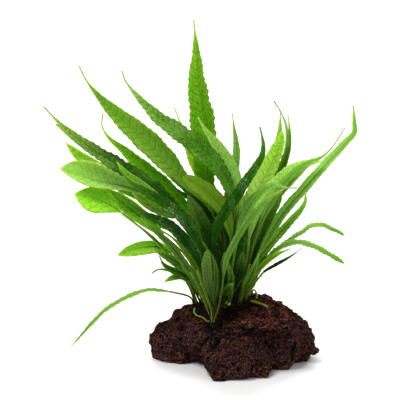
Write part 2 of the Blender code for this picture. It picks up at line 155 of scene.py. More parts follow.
class Wire:
    """A node's output, which can be reckoned with as a number can."""

    def __init__(self, graph: NodeGraph, socket: bpy.types.NodeSocket) -> None:
        """Hold the socket, and the graph that it belongs to."""
        self.graph = graph
        self.socket = socket

    def __add__(self, other: Wire | float) -> Wire:
        """Return the sum."""
        return self.graph.math("ADD", self, other)

    def __sub__(self, other: Wire | float) -> Wire:
        """Return the difference."""
        return self.graph.math("SUBTRACT", self, other)

    def __rsub__(self, other: float) -> Wire:
        """Return the difference from a number."""
        return self.graph.math("SUBTRACT", other, self)

    def __mul__(self, other: Wire | float) -> Wire:
        """Return the product."""
        return self.graph.math("MULTIPLY", self, other)

    def __rtruediv__(self, other: float) -> Wire:
        """Return a number divided by the value."""
        return self.graph.math("DIVIDE", other, self)

    def __pow__(self, other: float) -> Wire:
        """Return a power."""
        return self.graph.math("POWER", self, other)

    def __abs__(self) -> Wire:
        """Return the value without its sign."""
        return self.graph.math("ABSOLUTE", self)

    def larger(self, other: Wire) -> Wire:
        """Return the larger of two values."""
        return self.graph.math("MAXIMUM", self, other)

    def ease(self, low: float, high: float) -> Wire:
        """Return 0 where the value is at low, 1 where it is at high, and smooth between.

        Args:
            low: Where the result is 0. It may be the larger of the two.
            high: Where the result is 1.

        Returns:
            The result.
        """
        ends = (high, low, 1, 0) if low > high else (low, high, 0, 1)
        return self.graph.wire("ShaderNodeMapRange", dict(enumerate((self, *ends))),
                               interpolation_type="SMOOTHSTEP")


class NodeGraph:
    """Adds nodes to a shader or geometry tree, one short call for each."""

    def __init__(self, tree: bpy.types.NodeTree) -> None:
        """Start on a tree."""
        self.tree = tree
        self.prefix = "ShaderNode" if tree.type == "SHADER" else "GeometryNode"

    def add(self, kind: str, inputs: dict | None = None, **settings: object) -> bpy.types.Node:
        """Add one node.

        Args:
            kind: The node's type, with or without its prefix.
            inputs: What goes into its sockets, by name or number: a wire to link, or a value.
            settings: The node's own properties.

        Returns:
            The new node.
        """
        whole = kind.startswith(("ShaderNode", "FunctionNode"))
        node = self.tree.nodes.new(kind if whole else self.prefix + kind)
        for name, value in settings.items():
            setattr(node, name, value)
        self.feed(node, inputs or {})
        return node

    def wire(self, kind: str, inputs: dict | None = None, output: int | str = 0,
             **settings: object) -> Wire:
        """Add one node, and return one of its outputs.

        Args:
            kind: The node's type, with or without its prefix.
            inputs: What goes into its sockets, by name or number: a wire to link, or a value.
            output: Which output, by name or number.
            settings: The node's own properties.

        Returns:
            The output.
        """
        return Wire(self, self.add(kind, inputs, **settings).outputs[output])

    def feed(self, node: bpy.types.Node, inputs: dict) -> None:
        """Link a node's sockets, or set their values.

        Args:
            node: The node.
            inputs: What goes into each socket, by name or number: a wire to link, or a value.
        """
        for name, value in inputs.items():
            socket = node.inputs[name]
            if isinstance(value, Wire):
                self.tree.links.new(value.socket, socket)
            elif socket.type == "RGBA":
                socket.default_value = (*value, 1)
            else:
                socket.default_value = value

    def math(self, operation: str, *values: Wire | float) -> Wire:
        """Return the result of one arithmetic step, such as MULTIPLY."""
        return self.wire("ShaderNodeMath", dict(enumerate(values)), operation=operation)

    def parts(self, vector: Wire) -> list[Wire]:
        """Return the three parts of a vector."""
        node = self.add("ShaderNodeSeparateXYZ", {0: vector})
        return [Wire(self, socket) for socket in node.outputs]

    def attribute(self, name: str, kind: str = "FLOAT_VECTOR") -> Wire:
        """Return what a mesh carries at its points under a name.

        Args:
            name: The attribute's name.
            kind: FLOAT or FLOAT_VECTOR. A material always reads a vector.

        Returns:
            The attribute's value.
        """
        if self.tree.type == "SHADER":
            return self.wire("Attribute", output="Vector", attribute_name=name)
        return self.wire("InputNamedAttribute", {"Name": name}, "Attribute", data_type=kind)

    def blend(self, share: Wire | float, first: Wire | Colour, second: Wire | Colour) -> Wire:
        """Return two colours mixed.

        Args:
            share: How much of the second one.
            first: A colour.
            second: A colour.

        Returns:
            The mixed colour.
        """
        return self.wire("ShaderNodeMix", {0: share, 6: first, 7: second}, 2, data_type="RGBA")

    def noise(self, place: Wire, size: float, detail: float = 2.0, roughness: float = 0.5) -> Wire:
        """Return a soft noise with features of a given size.

        Args:
            place: The coordinates, in metres.
            size: The features' size, in metres.
            detail: How many finer layers it has.
            roughness: How strong the finer layers are.

        Returns:
            The noise, from 0 to 1.
        """
        return self.wire("ShaderNodeTexNoise", {
            "Vector": place, "Scale": 1 / size, "Detail": detail, "Roughness": roughness})

    def cells(self, place: Wire, size: float, feature: str = "F1") -> Wire:
        """Return how far each point is from its cell's middle, or from the cell's edge.

        Args:
            place: The coordinates, in metres.
            size: The cells' size, in metres.
            feature: F1 for the middle, or DISTANCE_TO_EDGE.

        Returns:
            The distance, as a share of a cell's size.
        """
        return self.wire("TexVoronoi", {"Vector": place, "Scale": 1 / size}, "Distance",
                         feature=feature)

    def bump(self, height: Wire, depth: float) -> Wire:
        """Return the normal of a surface that is roughened by a height, depth metres at 1."""
        return self.wire("Bump", {"Height": height, "Distance": depth, "Strength": 1.0})


# Finishes


@dataclass(frozen=True)
class Finish:
    """What every finish has: a name, and a Principled shader that a subclass dresses."""

    name: str

    def material(self) -> bpy.types.Material:
        """Make the finish's material, unless it has been made before.

        Returns:
            The material.
        """
        made = bpy.data.materials.get(self.name)
        if made is None:
            made = bpy.data.materials.new(self.name)
            made.use_nodes = True
            graph = NodeGraph(made.node_tree)
            shader = made.node_tree.nodes["Principled BSDF"]
            graph.feed(shader, self.dress(graph, graph.wire("TexCoord", output="Object")))
        return made

    def dress(self, graph: NodeGraph, spot: Wire) -> dict[str, object]:
        """Say what the shader's sockets take: a subclass says how.

        Args:
            graph: The material's nodes.
            spot: The place on the piece, in metres.

        Returns:
            A wire or a value for each socket, by name.
        """
        raise NotImplementedError


@dataclass(frozen=True)
class LeafFinish(Finish):
    """A fern leaf: its tone from stalk to tip, its midrib, side veins, netting, wet gloss and painted wet
    glints.
    """

    blade: Colour
    deep: Colour
    tip: Colour
    rib: Colour
    stalk: Colour = (0.09, 0.1, 0.015)
    # The pale tone of the painted wet glints, a painted highlight.
    glint_paint: Colour = (0.34, 0.5, 0.25)
    underside: Colour = (0.28, 0.42, 0.18)
    spore: Colour = srgb(92, 50, 20)
    vein_share: float = 0.5
    glow: float = 0.25
    glow_reach: tuple[float, float, float] = (0.6 * MM, 1.0 * MM, 0.2 * MM)
    roughness: float = 0.36
    gloss: float = 0.1
    painted_glint_share: float = 0.0
    painted_half_shade: float = 0.08
    rib_half: float = 0.26 * MM
    grain: float = 0.12 * MM
    patch_size: float = 14 * MM
    mottle_size: float = 1.6 * MM
    net_size: float = 1.7 * MM
    glint_drop_size: float = 1.2 * MM
    wet_size: float = 3.2 * MM
    spore_step: float = 3.4 * MM
    spore_row: float = 0.45

    def dress(self, graph: NodeGraph, spot: Wire) -> dict[str, object]:
        """Paint the leaf from its own attributes: across, vein phase and share of its length.

        Args:
            graph: The material's nodes.
            spot: The place on the leaf, in metres.

        Returns:
            A wire or a value for each socket, by name.
        """
        across, phase, share = graph.parts(graph.attribute("leaf_place"))
        half, under, shade = graph.parts(graph.attribute("leaf_form"))
        patches = graph.noise(spot, self.patch_size, 2)
        mottle = graph.noise(spot, self.mottle_size, 3, 0.65)
        wet = graph.noise(spot, self.wet_size, 3, 0.6)
        net = graph.cells(spot, self.net_size, "DISTANCE_TO_EDGE")
        cycle = abs(graph.math("FRACT", phase) - 0.5)
        offset = abs(across) * half
        on_blade = half.ease(1.0 * MM, 2.5 * MM)

        netting = net.ease(0.09, 0.02) * (self.vein_share * 0.6)
        veins = netting.larger(cycle.ease(0.40, 0.48) * self.vein_share)
        colour = self.ground(graph, share, patches, mottle)
        colour = graph.blend(veins * on_blade, colour, self.deep)
        colour = self.ribbed(graph, colour, offset, half, share)
        row = offset - half * self.spore_row
        colour = graph.blend(under, colour, self.spored(graph, colour, row, cycle))
        # Pale spots and net lines painted into the colour where the leaf is wet: painted highlights.
        if self.painted_glint_share:
            glint_drops = graph.noise(spot, self.glint_drop_size, 3, 0.6).ease(0.57, 0.67)
            glint_paint = glint_drops.larger(net.ease(0.1, 0.02) * 0.4) * patches.ease(0.44, 0.6)
            glint_paint = glint_paint * on_blade * (share.ease(0.25, 0.5) * self.painted_glint_share)
            colour = graph.blend(glint_paint, colour, self.glint_paint)
        # One half of the blade painted lighter than the other: painted light and shade, as on a folded blade
        # lit from one side.
        tone = across.ease(0.08, -0.08) * (self.painted_half_shade * 2) + (1 - self.painted_half_shade)

        return {
            "Base Color": graph.wire("HueSaturation", {"Color": colour, "Value": shade * tone}),
            "Roughness": wet * 0.22 + (self.roughness - 0.1) + under * 0.15,
            "Specular IOR Level": self.gloss,
            "Subsurface Weight": self.glow,
            "Subsurface Radius": self.glow_reach,
            "Subsurface Scale": 1.0,
            "Normal": graph.bump(mottle * 0.5 + wet - veins * 0.6, self.grain),
        }

    def ground(self, graph: NodeGraph, share: Wire, patches: Wire, mottle: Wire) -> Wire:
        """Return the tone along the leaf, dark at its foot, light at its tip, and mottled.

        Args:
            graph: The material's nodes.
            share: The share of the leaf's length.
            patches: A wide noise.
            mottle: A fine noise.

        Returns:
            The colour.
        """
        outer = share.ease(0.25, 0.8) * 0.35
        colour = graph.blend(share.ease(0.08, 0.42), self.deep, self.blade)
        colour = graph.blend(share.ease(0.62, 1.0), colour, self.tip)
        colour = graph.blend(patches.ease(0.45, 0.75) * outer, colour, self.tip)
        colour = graph.blend(mottle.ease(0.44, 0.6) * 0.24 + 0.08, colour, self.deep)
        return graph.blend(mottle.ease(0.46, 0.34) * outer, colour, self.tip)

    def ribbed(self, graph: NodeGraph, colour: Wire, offset: Wire, half: Wire, share: Wire) -> Wire:
        """Return the colour with the midrib, which fades to the tip, and the bare stalk.

        Args:
            graph: The material's nodes.
            colour: The blade's colour.
            offset: The distance from the leaf's middle, in metres.
            half: The leaf's half width, in metres.
            share: The share of the leaf's length.

        Returns:
            The colour.
        """
        rib = offset.ease(self.rib_half * 1.5, self.rib_half * 0.6) * share.ease(1.0, 0.55)
        colour = graph.blend(rib * 0.9, colour, self.rib)
        foot = graph.blend(share.ease(0.02, 0.3), self.stalk, colour)
        return graph.blend(half.ease(1.2 * MM, 0.65 * MM), colour, foot)

    def spored(self, graph: NodeGraph, colour: Wire, row: Wire, cycle: Wire) -> Wire:
        """Return the underside's colour, paler and with a row of spore dots in each half.

        Args:
            graph: The material's nodes.
            colour: The upper side's colour.
            row: The distance from the row of dots, in metres.
            cycle: 0.5 on a side vein and 0 midway between two.

        Returns:
            The colour.
        """
        pale = graph.blend(0.15, colour, self.underside)
        step = (0.5 - cycle) * self.spore_step
        away = graph.math("SQRT", row * row + step * step)
        return graph.blend(away.ease(0.6 * MM, 0.35 * MM) * 0.8, pale, self.spore)


@dataclass(frozen=True)
class LavaFinish(Finish):
    """Porous lava: rusty and streaked above, partly as painted top light, purplish below, and painted near
    black in its pores, pits, creases and grooves as shade.
    """

    rust_and_top_light: Colour = srgb(142, 70, 48)
    brown: Colour = srgb(72, 37, 32)
    ash: Colour = srgb(172, 122, 108)
    # Near black: painted shade in the pores, pits, creases and grooves.
    pore: Colour = srgb(5, 3, 2)
    damp: Colour = srgb(15, 14, 8)
    pore_size: float = 2.1 * MM
    speck_size: float = 1.15 * MM
    streak: float = 2.2 * MM
    drawn: tuple[float, float, float] = (0.28, 1.0, 0.9)
    chip_size: float = 1.7 * MM
    patch_size: float = 9 * MM
    fine_size: float = 0.8 * MM
    roughness: float = 0.7
    wetness: float = 0.2
    relief: float = 0.9 * MM

    def dress(self, graph: NodeGraph, spot: Wire) -> dict[str, object]:
        """Paint the lava from its pores, its height and how near the fern's roots it is.

        Args:
            graph: The material's nodes.
            spot: The place on the stone, in metres.

        Returns:
            A wire or a value for each socket, by name.
        """
        hollow_shade, rust_and_light, damp = graph.parts(graph.attribute("stone_form"))
        drawn = graph.wire("Mapping", {"Vector": spot, "Scale": self.drawn})
        chips = graph.noise(spot, self.chip_size, 2).ease(0.5, 0.64) * (rust_and_light * 0.35 + 0.22)
        patch = graph.noise(spot, self.patch_size, 3, 0.6)
        fine = graph.noise(spot, self.fine_size, 3, 0.75)
        streaks = graph.noise(drawn, self.streak, 4, 0.7)

        # Warm rust where the stone is rusty, partly painted light on its top and front.
        warmth = (patch - 0.5) * 1.6 + rust_and_light * 0.75 + (streaks - 0.5) * 1.8
        colour = graph.blend(warmth.ease(0.1, 1.0), self.brown, self.rust_and_top_light)
        colour = graph.blend(chips, colour, self.ash)
        crests = streaks.ease(0.54, 0.68) * rust_and_light.ease(0.0, 0.3)
        specks = (fine.ease(0.56, 0.68) * 0.75).larger(crests * 0.5)
        colour = graph.blend(specks, colour, self.ash)

        pores = self.pits(graph, spot, fine, self.pore_size, 0.34)
        pitted = pores.larger(self.pits(graph, spot, fine, self.speck_size, 0.36) * 0.8)
        # Pores, pits, creases and streak grooves go to near black: painted shade in the hollows.
        groove_shade = streaks.ease(0.52, 0.42) * rust_and_light.ease(0.0, 0.25)
        dark = pitted.larger(hollow_shade.ease(0.1, 0.6)).larger(groove_shade * 0.85)
        dark = dark.larger(fine.ease(0.56, 0.42) * 0.85)
        colour = graph.blend(dark, colour, self.pore)
        return {
            "Base Color": graph.blend(damp * 0.85, colour, self.damp),
            "Roughness": self.roughness - patch.ease(0.5, 0.75) * 0.25,
            "Specular IOR Level": self.wetness,
            "Normal": graph.bump(fine + streaks * 1.2 - pitted * 1.2, self.relief),
        }

    def pits(self, graph: NodeGraph, spot: Wire, fine: Wire, size: float, reach: float) -> Wire:
        """Return how deep in a pore each point is.

        Args:
            graph: The material's nodes.
            spot: The place on the stone, in metres.
            fine: A fine noise, which frays the pores.
            size: How far apart the pores are, in metres.
            reach: How far a pore reaches, as a share of its cell.

        Returns:
            1 in a pore's middle and 0 outside.
        """
        return (graph.cells(spot, size) + (fine - 0.5) * 0.3).ease(reach, 0.2)


@dataclass(frozen=True)
class BarkFinish(Finish):
    """Rhizome, scales and roots: dull, streaked from one tone to another along the surface."""

    light: Colour = srgb(70, 62, 28)
    dark: Colour = srgb(22, 16, 8)
    streak: float = 1.6 * MM
    roughness: float = 0.75
    gloss: float = 0.15
    relief: float = 0.2 * MM

    def dress(self, graph: NodeGraph, spot: Wire) -> dict[str, object]:
        """Mix the two tones by noise.

        Args:
            graph: The material's nodes.
            spot: The place on the piece, in metres.

        Returns:
            A wire or a value for each socket, by name.
        """
        cloud = graph.noise(spot, self.streak, 3, 0.6)
        return {
            "Base Color": graph.blend(cloud.ease(0.35, 0.7), self.dark, self.light),
            "Roughness": cloud * 0.2 + (self.roughness - 0.1),
            "Specular IOR Level": self.gloss,
            "Normal": graph.bump(cloud, self.relief),
        }


@dataclass(frozen=True)
class FloorFinish(Finish):
    """A plain pale studio floor."""

    tone: Colour = (0.9, 0.9, 0.9)
    faint: Colour = (0.87, 0.87, 0.87)
    patch_size: float = 0.6
    roughness: float = 0.9
    gloss: float = 0.2

    def dress(self, graph: NodeGraph, spot: Wire) -> dict[str, object]:
        """Give the floor its plain tone.

        Args:
            graph: The material's nodes.
            spot: The place on the floor, in metres.

        Returns:
            A wire or a value for each socket, by name.
        """
        cloud = graph.noise(spot, self.patch_size, 1)
        return {
            "Base Color": graph.blend(cloud, self.tone, self.faint),
            "Roughness": self.roughness,
            "Specular IOR Level": self.gloss,
        }


class Leaf(Enum):
    """The kinds of leaf on the plant, each with the record's slot and its finish."""

    DEEP = ("frond_deep", LeafFinish(
        "leaf_deep", blade=srgb(38, 88, 10), deep=srgb(12, 42, 3), tip=srgb(122, 166, 58),
        rib=srgb(28, 66, 10), glow=0.12, roughness=0.34, painted_glint_share=0.15))
    DEEP_LIGHT_TIP = ("frond_deep", LeafFinish(
        "leaf_deep_light_tip", blade=srgb(38, 88, 10), deep=srgb(12, 42, 3), tip=srgb(150, 188, 76),
        rib=srgb(28, 66, 10), glow=0.12, roughness=0.34, painted_glint_share=0.15))
    WET = ("frond_deep", LeafFinish(
        "leaf_deep_wet", blade=srgb(36, 84, 8), deep=srgb(10, 38, 2), tip=srgb(78, 126, 34),
        rib=srgb(22, 58, 8), glow=0.1, roughness=0.25, gloss=0.05, grain=0.3 * MM, painted_glint_share=0.5))
    QUILTED = ("frond_mid", LeafFinish(
        "leaf_quilted", blade=srgb(76, 126, 24), deep=srgb(20, 56, 6), tip=srgb(150, 192, 84),
        rib=srgb(84, 126, 44), glow=0.15, roughness=0.3, grain=0.2 * MM, painted_glint_share=0.65,
        glint_paint=(0.25, 0.42, 0.14)))
    MID = ("frond_mid", LeafFinish(
        "leaf_mid", blade=srgb(84, 134, 26), deep=srgb(22, 58, 5), tip=srgb(118, 166, 48),
        rib=srgb(72, 34, 12), rib_half=0.32 * MM, painted_glint_share=0.15))
    VIVID = ("frond_mid", LeafFinish(
        "leaf_vivid", blade=srgb(94, 148, 12), deep=srgb(32, 74, 6), tip=srgb(128, 172, 42),
        rib=srgb(128, 148, 30)))
    GREY = ("frond_mid", LeafFinish(
        "leaf_grey", blade=srgb(112, 156, 64), deep=srgb(54, 96, 24), tip=srgb(136, 178, 76),
        rib=srgb(84, 106, 40), vein_share=0.25, roughness=0.42, painted_glint_share=0.2))
    WAVY = ("frond_mid", LeafFinish(
        "leaf_wavy", blade=srgb(140, 178, 90), deep=srgb(98, 140, 54), tip=srgb(106, 154, 38),
        rib=srgb(100, 112, 44), vein_share=0.25, roughness=0.42))
    FRESH = ("frond_fresh", LeafFinish(
        "leaf_fresh", blade=srgb(128, 168, 58), deep=srgb(44, 88, 18), tip=srgb(118, 162, 42),
        rib=srgb(126, 142, 36), glow=0.3))
    BROAD = ("frond_fresh", LeafFinish(
        "leaf_broad", blade=srgb(144, 196, 54), deep=srgb(74, 122, 20), tip=srgb(150, 202, 50),
        rib=srgb(48, 92, 16), glow=0.32, roughness=0.38, painted_glint_share=0.3, rib_half=0.36 * MM))
    # Its dark midrib is partly painted shade in the crease along the middle.
    SHEEN = ("frond_fresh", LeafFinish(
        "leaf_sheen", blade=srgb(180, 212, 122), deep=srgb(100, 142, 52), tip=srgb(156, 200, 84),
        rib=srgb(60, 102, 24), glow=0.32, roughness=0.38, painted_glint_share=0.5, rib_half=0.36 * MM))
    BRIGHT = ("frond_fresh", LeafFinish(
        "leaf_bright", blade=srgb(166, 198, 94), deep=srgb(70, 112, 26), tip=srgb(156, 204, 50),
        rib=srgb(110, 126, 46), glow=0.35, painted_glint_share=0.3))
    YELLOW = ("frond_fresh", LeafFinish(
        "leaf_yellow", blade=srgb(148, 184, 44), deep=srgb(72, 112, 20), tip=srgb(160, 204, 50),
        rib=srgb(176, 200, 72), glow=0.35))
    PALE = ("frond_fresh", LeafFinish(
        "leaf_pale", blade=srgb(146, 186, 90), deep=srgb(60, 104, 28), tip=srgb(150, 192, 84),
        rib=srgb(110, 140, 52), glow=0.3, painted_glint_share=0.3))
    OLIVE = ("frond_olive", LeafFinish(
        "leaf_olive", blade=srgb(114, 152, 34), deep=srgb(66, 100, 18), tip=srgb(128, 168, 46),
        rib=srgb(84, 104, 28), vein_share=0.2, stalk=srgb(136, 140, 42)))
    YOUNG = ("frond_fresh", LeafFinish(
        "leaf_young", blade=srgb(124, 150, 40), deep=srgb(92, 116, 28), tip=srgb(104, 160, 40),
        rib=srgb(124, 150, 40), vein_share=0.0, glow=0.3, grain=0.03 * MM, stalk=srgb(90, 104, 28)))

    @property
    def slot(self) -> str:
        """Return the record's material slot of this leaf."""
        return self.value[0]

    @property
    def finish(self) -> LeafFinish:
        """Return the finish of this leaf."""
        return self.value[1]


# Meshes


def smooth_route(points: Route, step: float) -> tuple[Route, float]:
    """Return a smooth curve through points, as points evenly spaced along it.

    Args:
        points: What the curve goes through.
        step: The spacing, in metres.

    Returns:
        The spaced points, and the curve's length.
    """
    samples = 24
    ends = [points[0] * 2 - points[1], *points, points[-1] * 2 - points[-2]]
    fine = []
    for before, start, end, after in zip(ends, ends[1:], ends[2:], ends[3:]):
        for i in range(samples):
            t = i / samples
            fine.append(0.5 * (
                2 * start
                + (end - before) * t
                + (2 * before - 5 * start + 4 * end - after) * t**2
                + (3 * start - before - 3 * end + after) * t**3
            ))
    fine.append(points[-1])
    lengths = [0.0]
    for a, b in zip(fine, fine[1:]):
        lengths.append(lengths[-1] + (b - a).length)
    total = lengths[-1]
    count = max(2, round(total / step) + 1)
    route = []
    k = 0
    for i in range(count):
        wanted = total * i / (count - 1)
        while k < len(fine) - 2 and lengths[k + 1] < wanted:
            k += 1
        share = (wanted - lengths[k]) / max(lengths[k + 1] - lengths[k], 1e-12)
        route.append(fine[k].lerp(fine[k + 1], min(max(share, 0.0), 1.0)))
    return route, total


def add_object(name: str, data: bpy.types.ID) -> bpy.types.Object:
    """Put a new object in the scene, at the origin.

    Args:
        name: The object's name.
        data: Its mesh, light or camera.

    Returns:
        The object.
    """
    made = bpy.data.objects.new(name, data)
    bpy.context.scene.collection.objects.link(made)
    return made


def mesh_object(name: str, points: np.ndarray | Route, faces: list) -> bpy.types.Object:
    """Return a new smooth-shaded mesh object at the origin.

    Args:
        name: The object's name.
        points: Its corners.
        faces: Its faces, as corner numbers.

    Returns:
        The object.
    """
    mesh = bpy.data.meshes.new(name)
    mesh.from_pydata([tuple(p) for p in points], [], faces)
    mesh.shade_smooth()
    return add_object(name, mesh)


def skin(rings: int, around: int, turned: bool = False) -> list[tuple[int, ...]]:
    """Return the faces that close rings of points into one skin.

    Args:
        rings: How many rings there are.
        around: How many points a ring has.
        turned: Whether the rings are numbered the other way round.

    Returns:
        The faces, as point numbers.
    """
    first = tuple(range(around))
    last = tuple(range((rings - 1) * around, rings * around))
    faces = [first, last[::-1]] if turned else [first[::-1], last]
    for low in range(0, (rings - 1) * around, around):
        for k in range(around):
            n = (k + 1) % around
            face = (low + k, low + around + k, low + around + n, low + n)
            faces.append(face if turned else face[:1] + face[:0:-1])
    return faces


def line_object(name: str, lines: list[Route], girths: list[list[float]]) -> bpy.types.Object:
    """Return a mesh of bare lines, each point with its girth.

    Args:
        name: The object's name.
        lines: Each line's points.
        girths: Each point's radius, in metres.

    Returns:
        The object.
    """
    edges = []
    start = 0
    for line in lines:
        edges += [(start + i, start + i + 1) for i in range(len(line) - 1)]
        start += len(line)
    mesh = bpy.data.meshes.new(name)
    mesh.from_pydata([p for line in lines for p in line], edges, [])
    write_attribute(mesh, "girth", "FLOAT", np.array([g for girth in girths for g in girth]))
    return add_object(name, mesh)


def write_attribute(mesh: bpy.types.Mesh, name: str, kind: str, values: np.ndarray) -> None:
    """Put a value on each corner point of a mesh.

    Args:
        mesh: The mesh.
        name: The attribute's name.
        kind: FLOAT or FLOAT_VECTOR.
        values: One number or vector for each point.
    """
    attribute = mesh.attributes.new(name, kind, "POINT")
    attribute.data.foreach_set("vector" if kind == "FLOAT_VECTOR" else "value",
                               np.asarray(values, np.float32).ravel())


def surface_of(mesh: bpy.types.Mesh) -> BVHTree:
    """Return a mesh as a surface that rays can meet."""
    corners = [vertex.co for vertex in mesh.vertices]
    return BVHTree.FromPolygons(corners, [tuple(face.vertices) for face in mesh.polygons])


@contextmanager
def edited(mesh: bpy.types.Mesh) -> Iterator[bmesh.types.BMesh]:
    """Open a mesh for an edit, and write the edit back to it.

    Args:
        mesh: The mesh.

    Yields:
        The mesh in its editable form.
    """
    shape = bmesh.new()
    shape.from_mesh(mesh)
    yield shape
    shape.to_mesh(mesh)
    shape.free()


def apply_modifiers(piece: bpy.types.Object) -> None:
    """Leave what an object's modifiers make as its plain mesh, and take them off.

    Args:
        piece: The mesh object.
    """
    depsgraph = bpy.context.evaluated_depsgraph_get()
    made = bpy.data.meshes.new_from_object(piece.evaluated_get(depsgraph), depsgraph=depsgraph)
    piece.modifiers.clear()
    old = piece.data
    piece.data = made
    bpy.data.meshes.remove(old)
    made.name = piece.name


def settle(piece: bpy.types.Object, slot: str, *nodes: str) -> None:
    """Fix a finished piece to the body, and hide the solids that it stands for.

    Args:
        piece: The finished piece.
        slot: The record's material slot. It is not used.
        nodes: The names of the solids that it replaces.
    """
    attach(piece, "root")
    if nodes:
        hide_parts(*nodes)
    triangles = sum(len(p.vertices) - 2 for p in piece.data.polygons)
    log.info("%s: %d triangles", piece.name, triangles)


# Geometry Nodes trees


class GeometryTree:
    """A Geometry Nodes tree with named inputs, and what runs it on a mesh."""

    def __init__(self, name: str, inputs: dict[str, tuple[str, object]]) -> None:
        """Make the tree with its inputs and its one output.

        Args:
            name: The tree's name.
            inputs: Each input's type and first value, by name, after the geometry itself.
        """
        self.tree = bpy.data.node_groups.new(name, "GeometryNodeTree")
        interface = self.tree.interface
        interface.new_socket("Geometry", in_out="OUTPUT", socket_type="NodeSocketGeometry")
        interface.new_socket("Geometry", in_out="INPUT", socket_type="NodeSocketGeometry")
        self.sockets = {}
        for label, (kind, value) in inputs.items():
            socket = interface.new_socket(label, in_out="INPUT", socket_type="NodeSocket" + kind)
            if value is not None:
                socket.default_value = value
            self.sockets[label] = socket.identifier
        self.graph = NodeGraph(self.tree)
        self.entry = self.tree.nodes.new("NodeGroupInput")
        self.exit = self.tree.nodes.new("NodeGroupOutput")

    def given(self, label: str) -> Wire:
        """Return one of the tree's inputs."""
        return Wire(self.graph, self.entry.outputs[label])

    def close(self, geometry: Wire) -> None:
        """End the tree: its instances made real, and its material set.

        Args:
            geometry: What the tree has made.
        """
        real = self.graph.wire("RealizeInstances", {"Geometry": geometry})
        painted = self.graph.wire("SetMaterial", {"Geometry": real, "Material": self.given("Finish")})
        self.graph.feed(self.exit, {0: painted})

    def run(self, piece: bpy.types.Object, **values: object) -> None:
        """Run the tree on a mesh object, and leave its result as the object's plain mesh.

        Args:
            piece: The mesh object.
            values: The inputs' values, by name, with _ for a space.
        """
        modifier = piece.modifiers.new("made", "NODES")
        modifier.node_group = self.tree
        for label, value in values.items():
            modifier[self.sockets[label.replace("_", " ")]] = value
        apply_modifiers(piece)


def blade_relief() -> GeometryTree:
    """Make the tree that swells a blade between its side veins and ruffles its margins.

    Returns:
        The tree.
    """
    made = GeometryTree("blade_relief", {
        "Quilt height": ("Float", 0.3 * MM), "Ruffle height": ("Float", 0.8 * MM),
        "Ruffle length": ("Float", 14 * MM), "Seed": ("Float", 0.0), "Finish": ("Material", None)})
    graph = made.graph
    across, phase, share = graph.parts(graph.attribute("leaf_place"))
    half = graph.parts(graph.attribute("leaf_form"))[0]
    out = abs(across)
    breadth = half.ease(1.2 * MM, 4.5 * MM)

    between = 0.5 - graph.math("COSINE", phase * math.tau) * 0.5
    inner = (out * half).ease(0.3 * MM, 1.6 * MM)
    quilt = between * inner * (out.ease(1.0, 0.62) * breadth) * made.given("Quilt height")

    clouds = graph.wire("ShaderNodeTexNoise", {
        "Vector": graph.wire("InputPosition"), "W": made.given("Seed"), "Detail": 1.0,
        "Scale": 1.0 / made.given("Ruffle length")}, noise_dimensions="4D")
    sway = (clouds - 0.5) * 3.2 * out ** 2.2 * (breadth * share.ease(1.0, 0.7))
    ruffle = sway * made.given("Ruffle height")

    push = graph.wire("ShaderNodeVectorMath", {
        0: graph.attribute("leaf_lift"), "Scale": quilt + ruffle}, operation="SCALE")
    made.close(graph.wire("SetPosition", {"Geometry": made.given("Geometry"), "Offset": push}))
    return made


def thread_tree() -> GeometryTree:
    """Make the tree that turns lines of points into tapered threads.

    Returns:
        The tree.
    """
    made = GeometryTree("threads", {"Sides": ("Int", 6), "Finish": ("Material", None)})
    graph = made.graph
    line = graph.wire("MeshToCurve", {0: made.given("Geometry")})
    ring = graph.wire("CurvePrimitiveCircle", {"Resolution": made.given("Sides"), "Radius": 1.0})
    tube = graph.wire("CurveToMesh", {
        "Curve": line, "Profile Curve": ring, "Scale": graph.attribute("girth", "FLOAT"),
        "Fill Caps": True})
    made.close(graph.wire("SetShadeSmooth", {0: tube}))
    return made


def scale_tree() -> GeometryTree:
    """Make the tree that covers a surface with small pointed scales.

    Returns:
        The tree.
    """
    made = GeometryTree("scales", {
        "Density": ("Float", 1.0), "Length": ("Float", 1.2 * MM), "Seed": ("Int", 1),
        "Finish": ("Material", None)})
    graph = made.graph
    seed = made.given("Seed")
    spots = graph.add("DistributePointsOnFaces", {
        "Mesh": made.given("Geometry"), "Density": made.given("Density"), "Seed": seed})
    cone = graph.wire("MeshCone", {
        "Vertices": 4, "Radius Top": 0.0, "Radius Bottom": 0.3, "Depth": 1.0})
    flat = graph.wire("Transform", {"Geometry": cone, "Scale": (1.0, 0.35, 1.0)})
    tilt = graph.wire("FunctionNodeRandomValue", {
        0: (-0.9, -0.9, -3.1), 1: (0.9, 0.9, 3.1), "Seed": seed}, data_type="FLOAT_VECTOR")
    lying = graph.wire("FunctionNodeRotateEuler", {
        "Rotation": Wire(graph, spots.outputs["Rotation"]), "Rotate By": tilt}, space="LOCAL")
    size = graph.wire("FunctionNodeRandomValue", {2: 0.5, 3: 1.2, "Seed": seed}, 1, data_type="FLOAT")
    made.close(graph.wire("InstanceOnPoints", {
        "Points": Wire(graph, spots.outputs["Points"]), "Instance": flat, "Rotation": lying,
        "Scale": size * made.given("Length")}))
    return made


# The rhizome


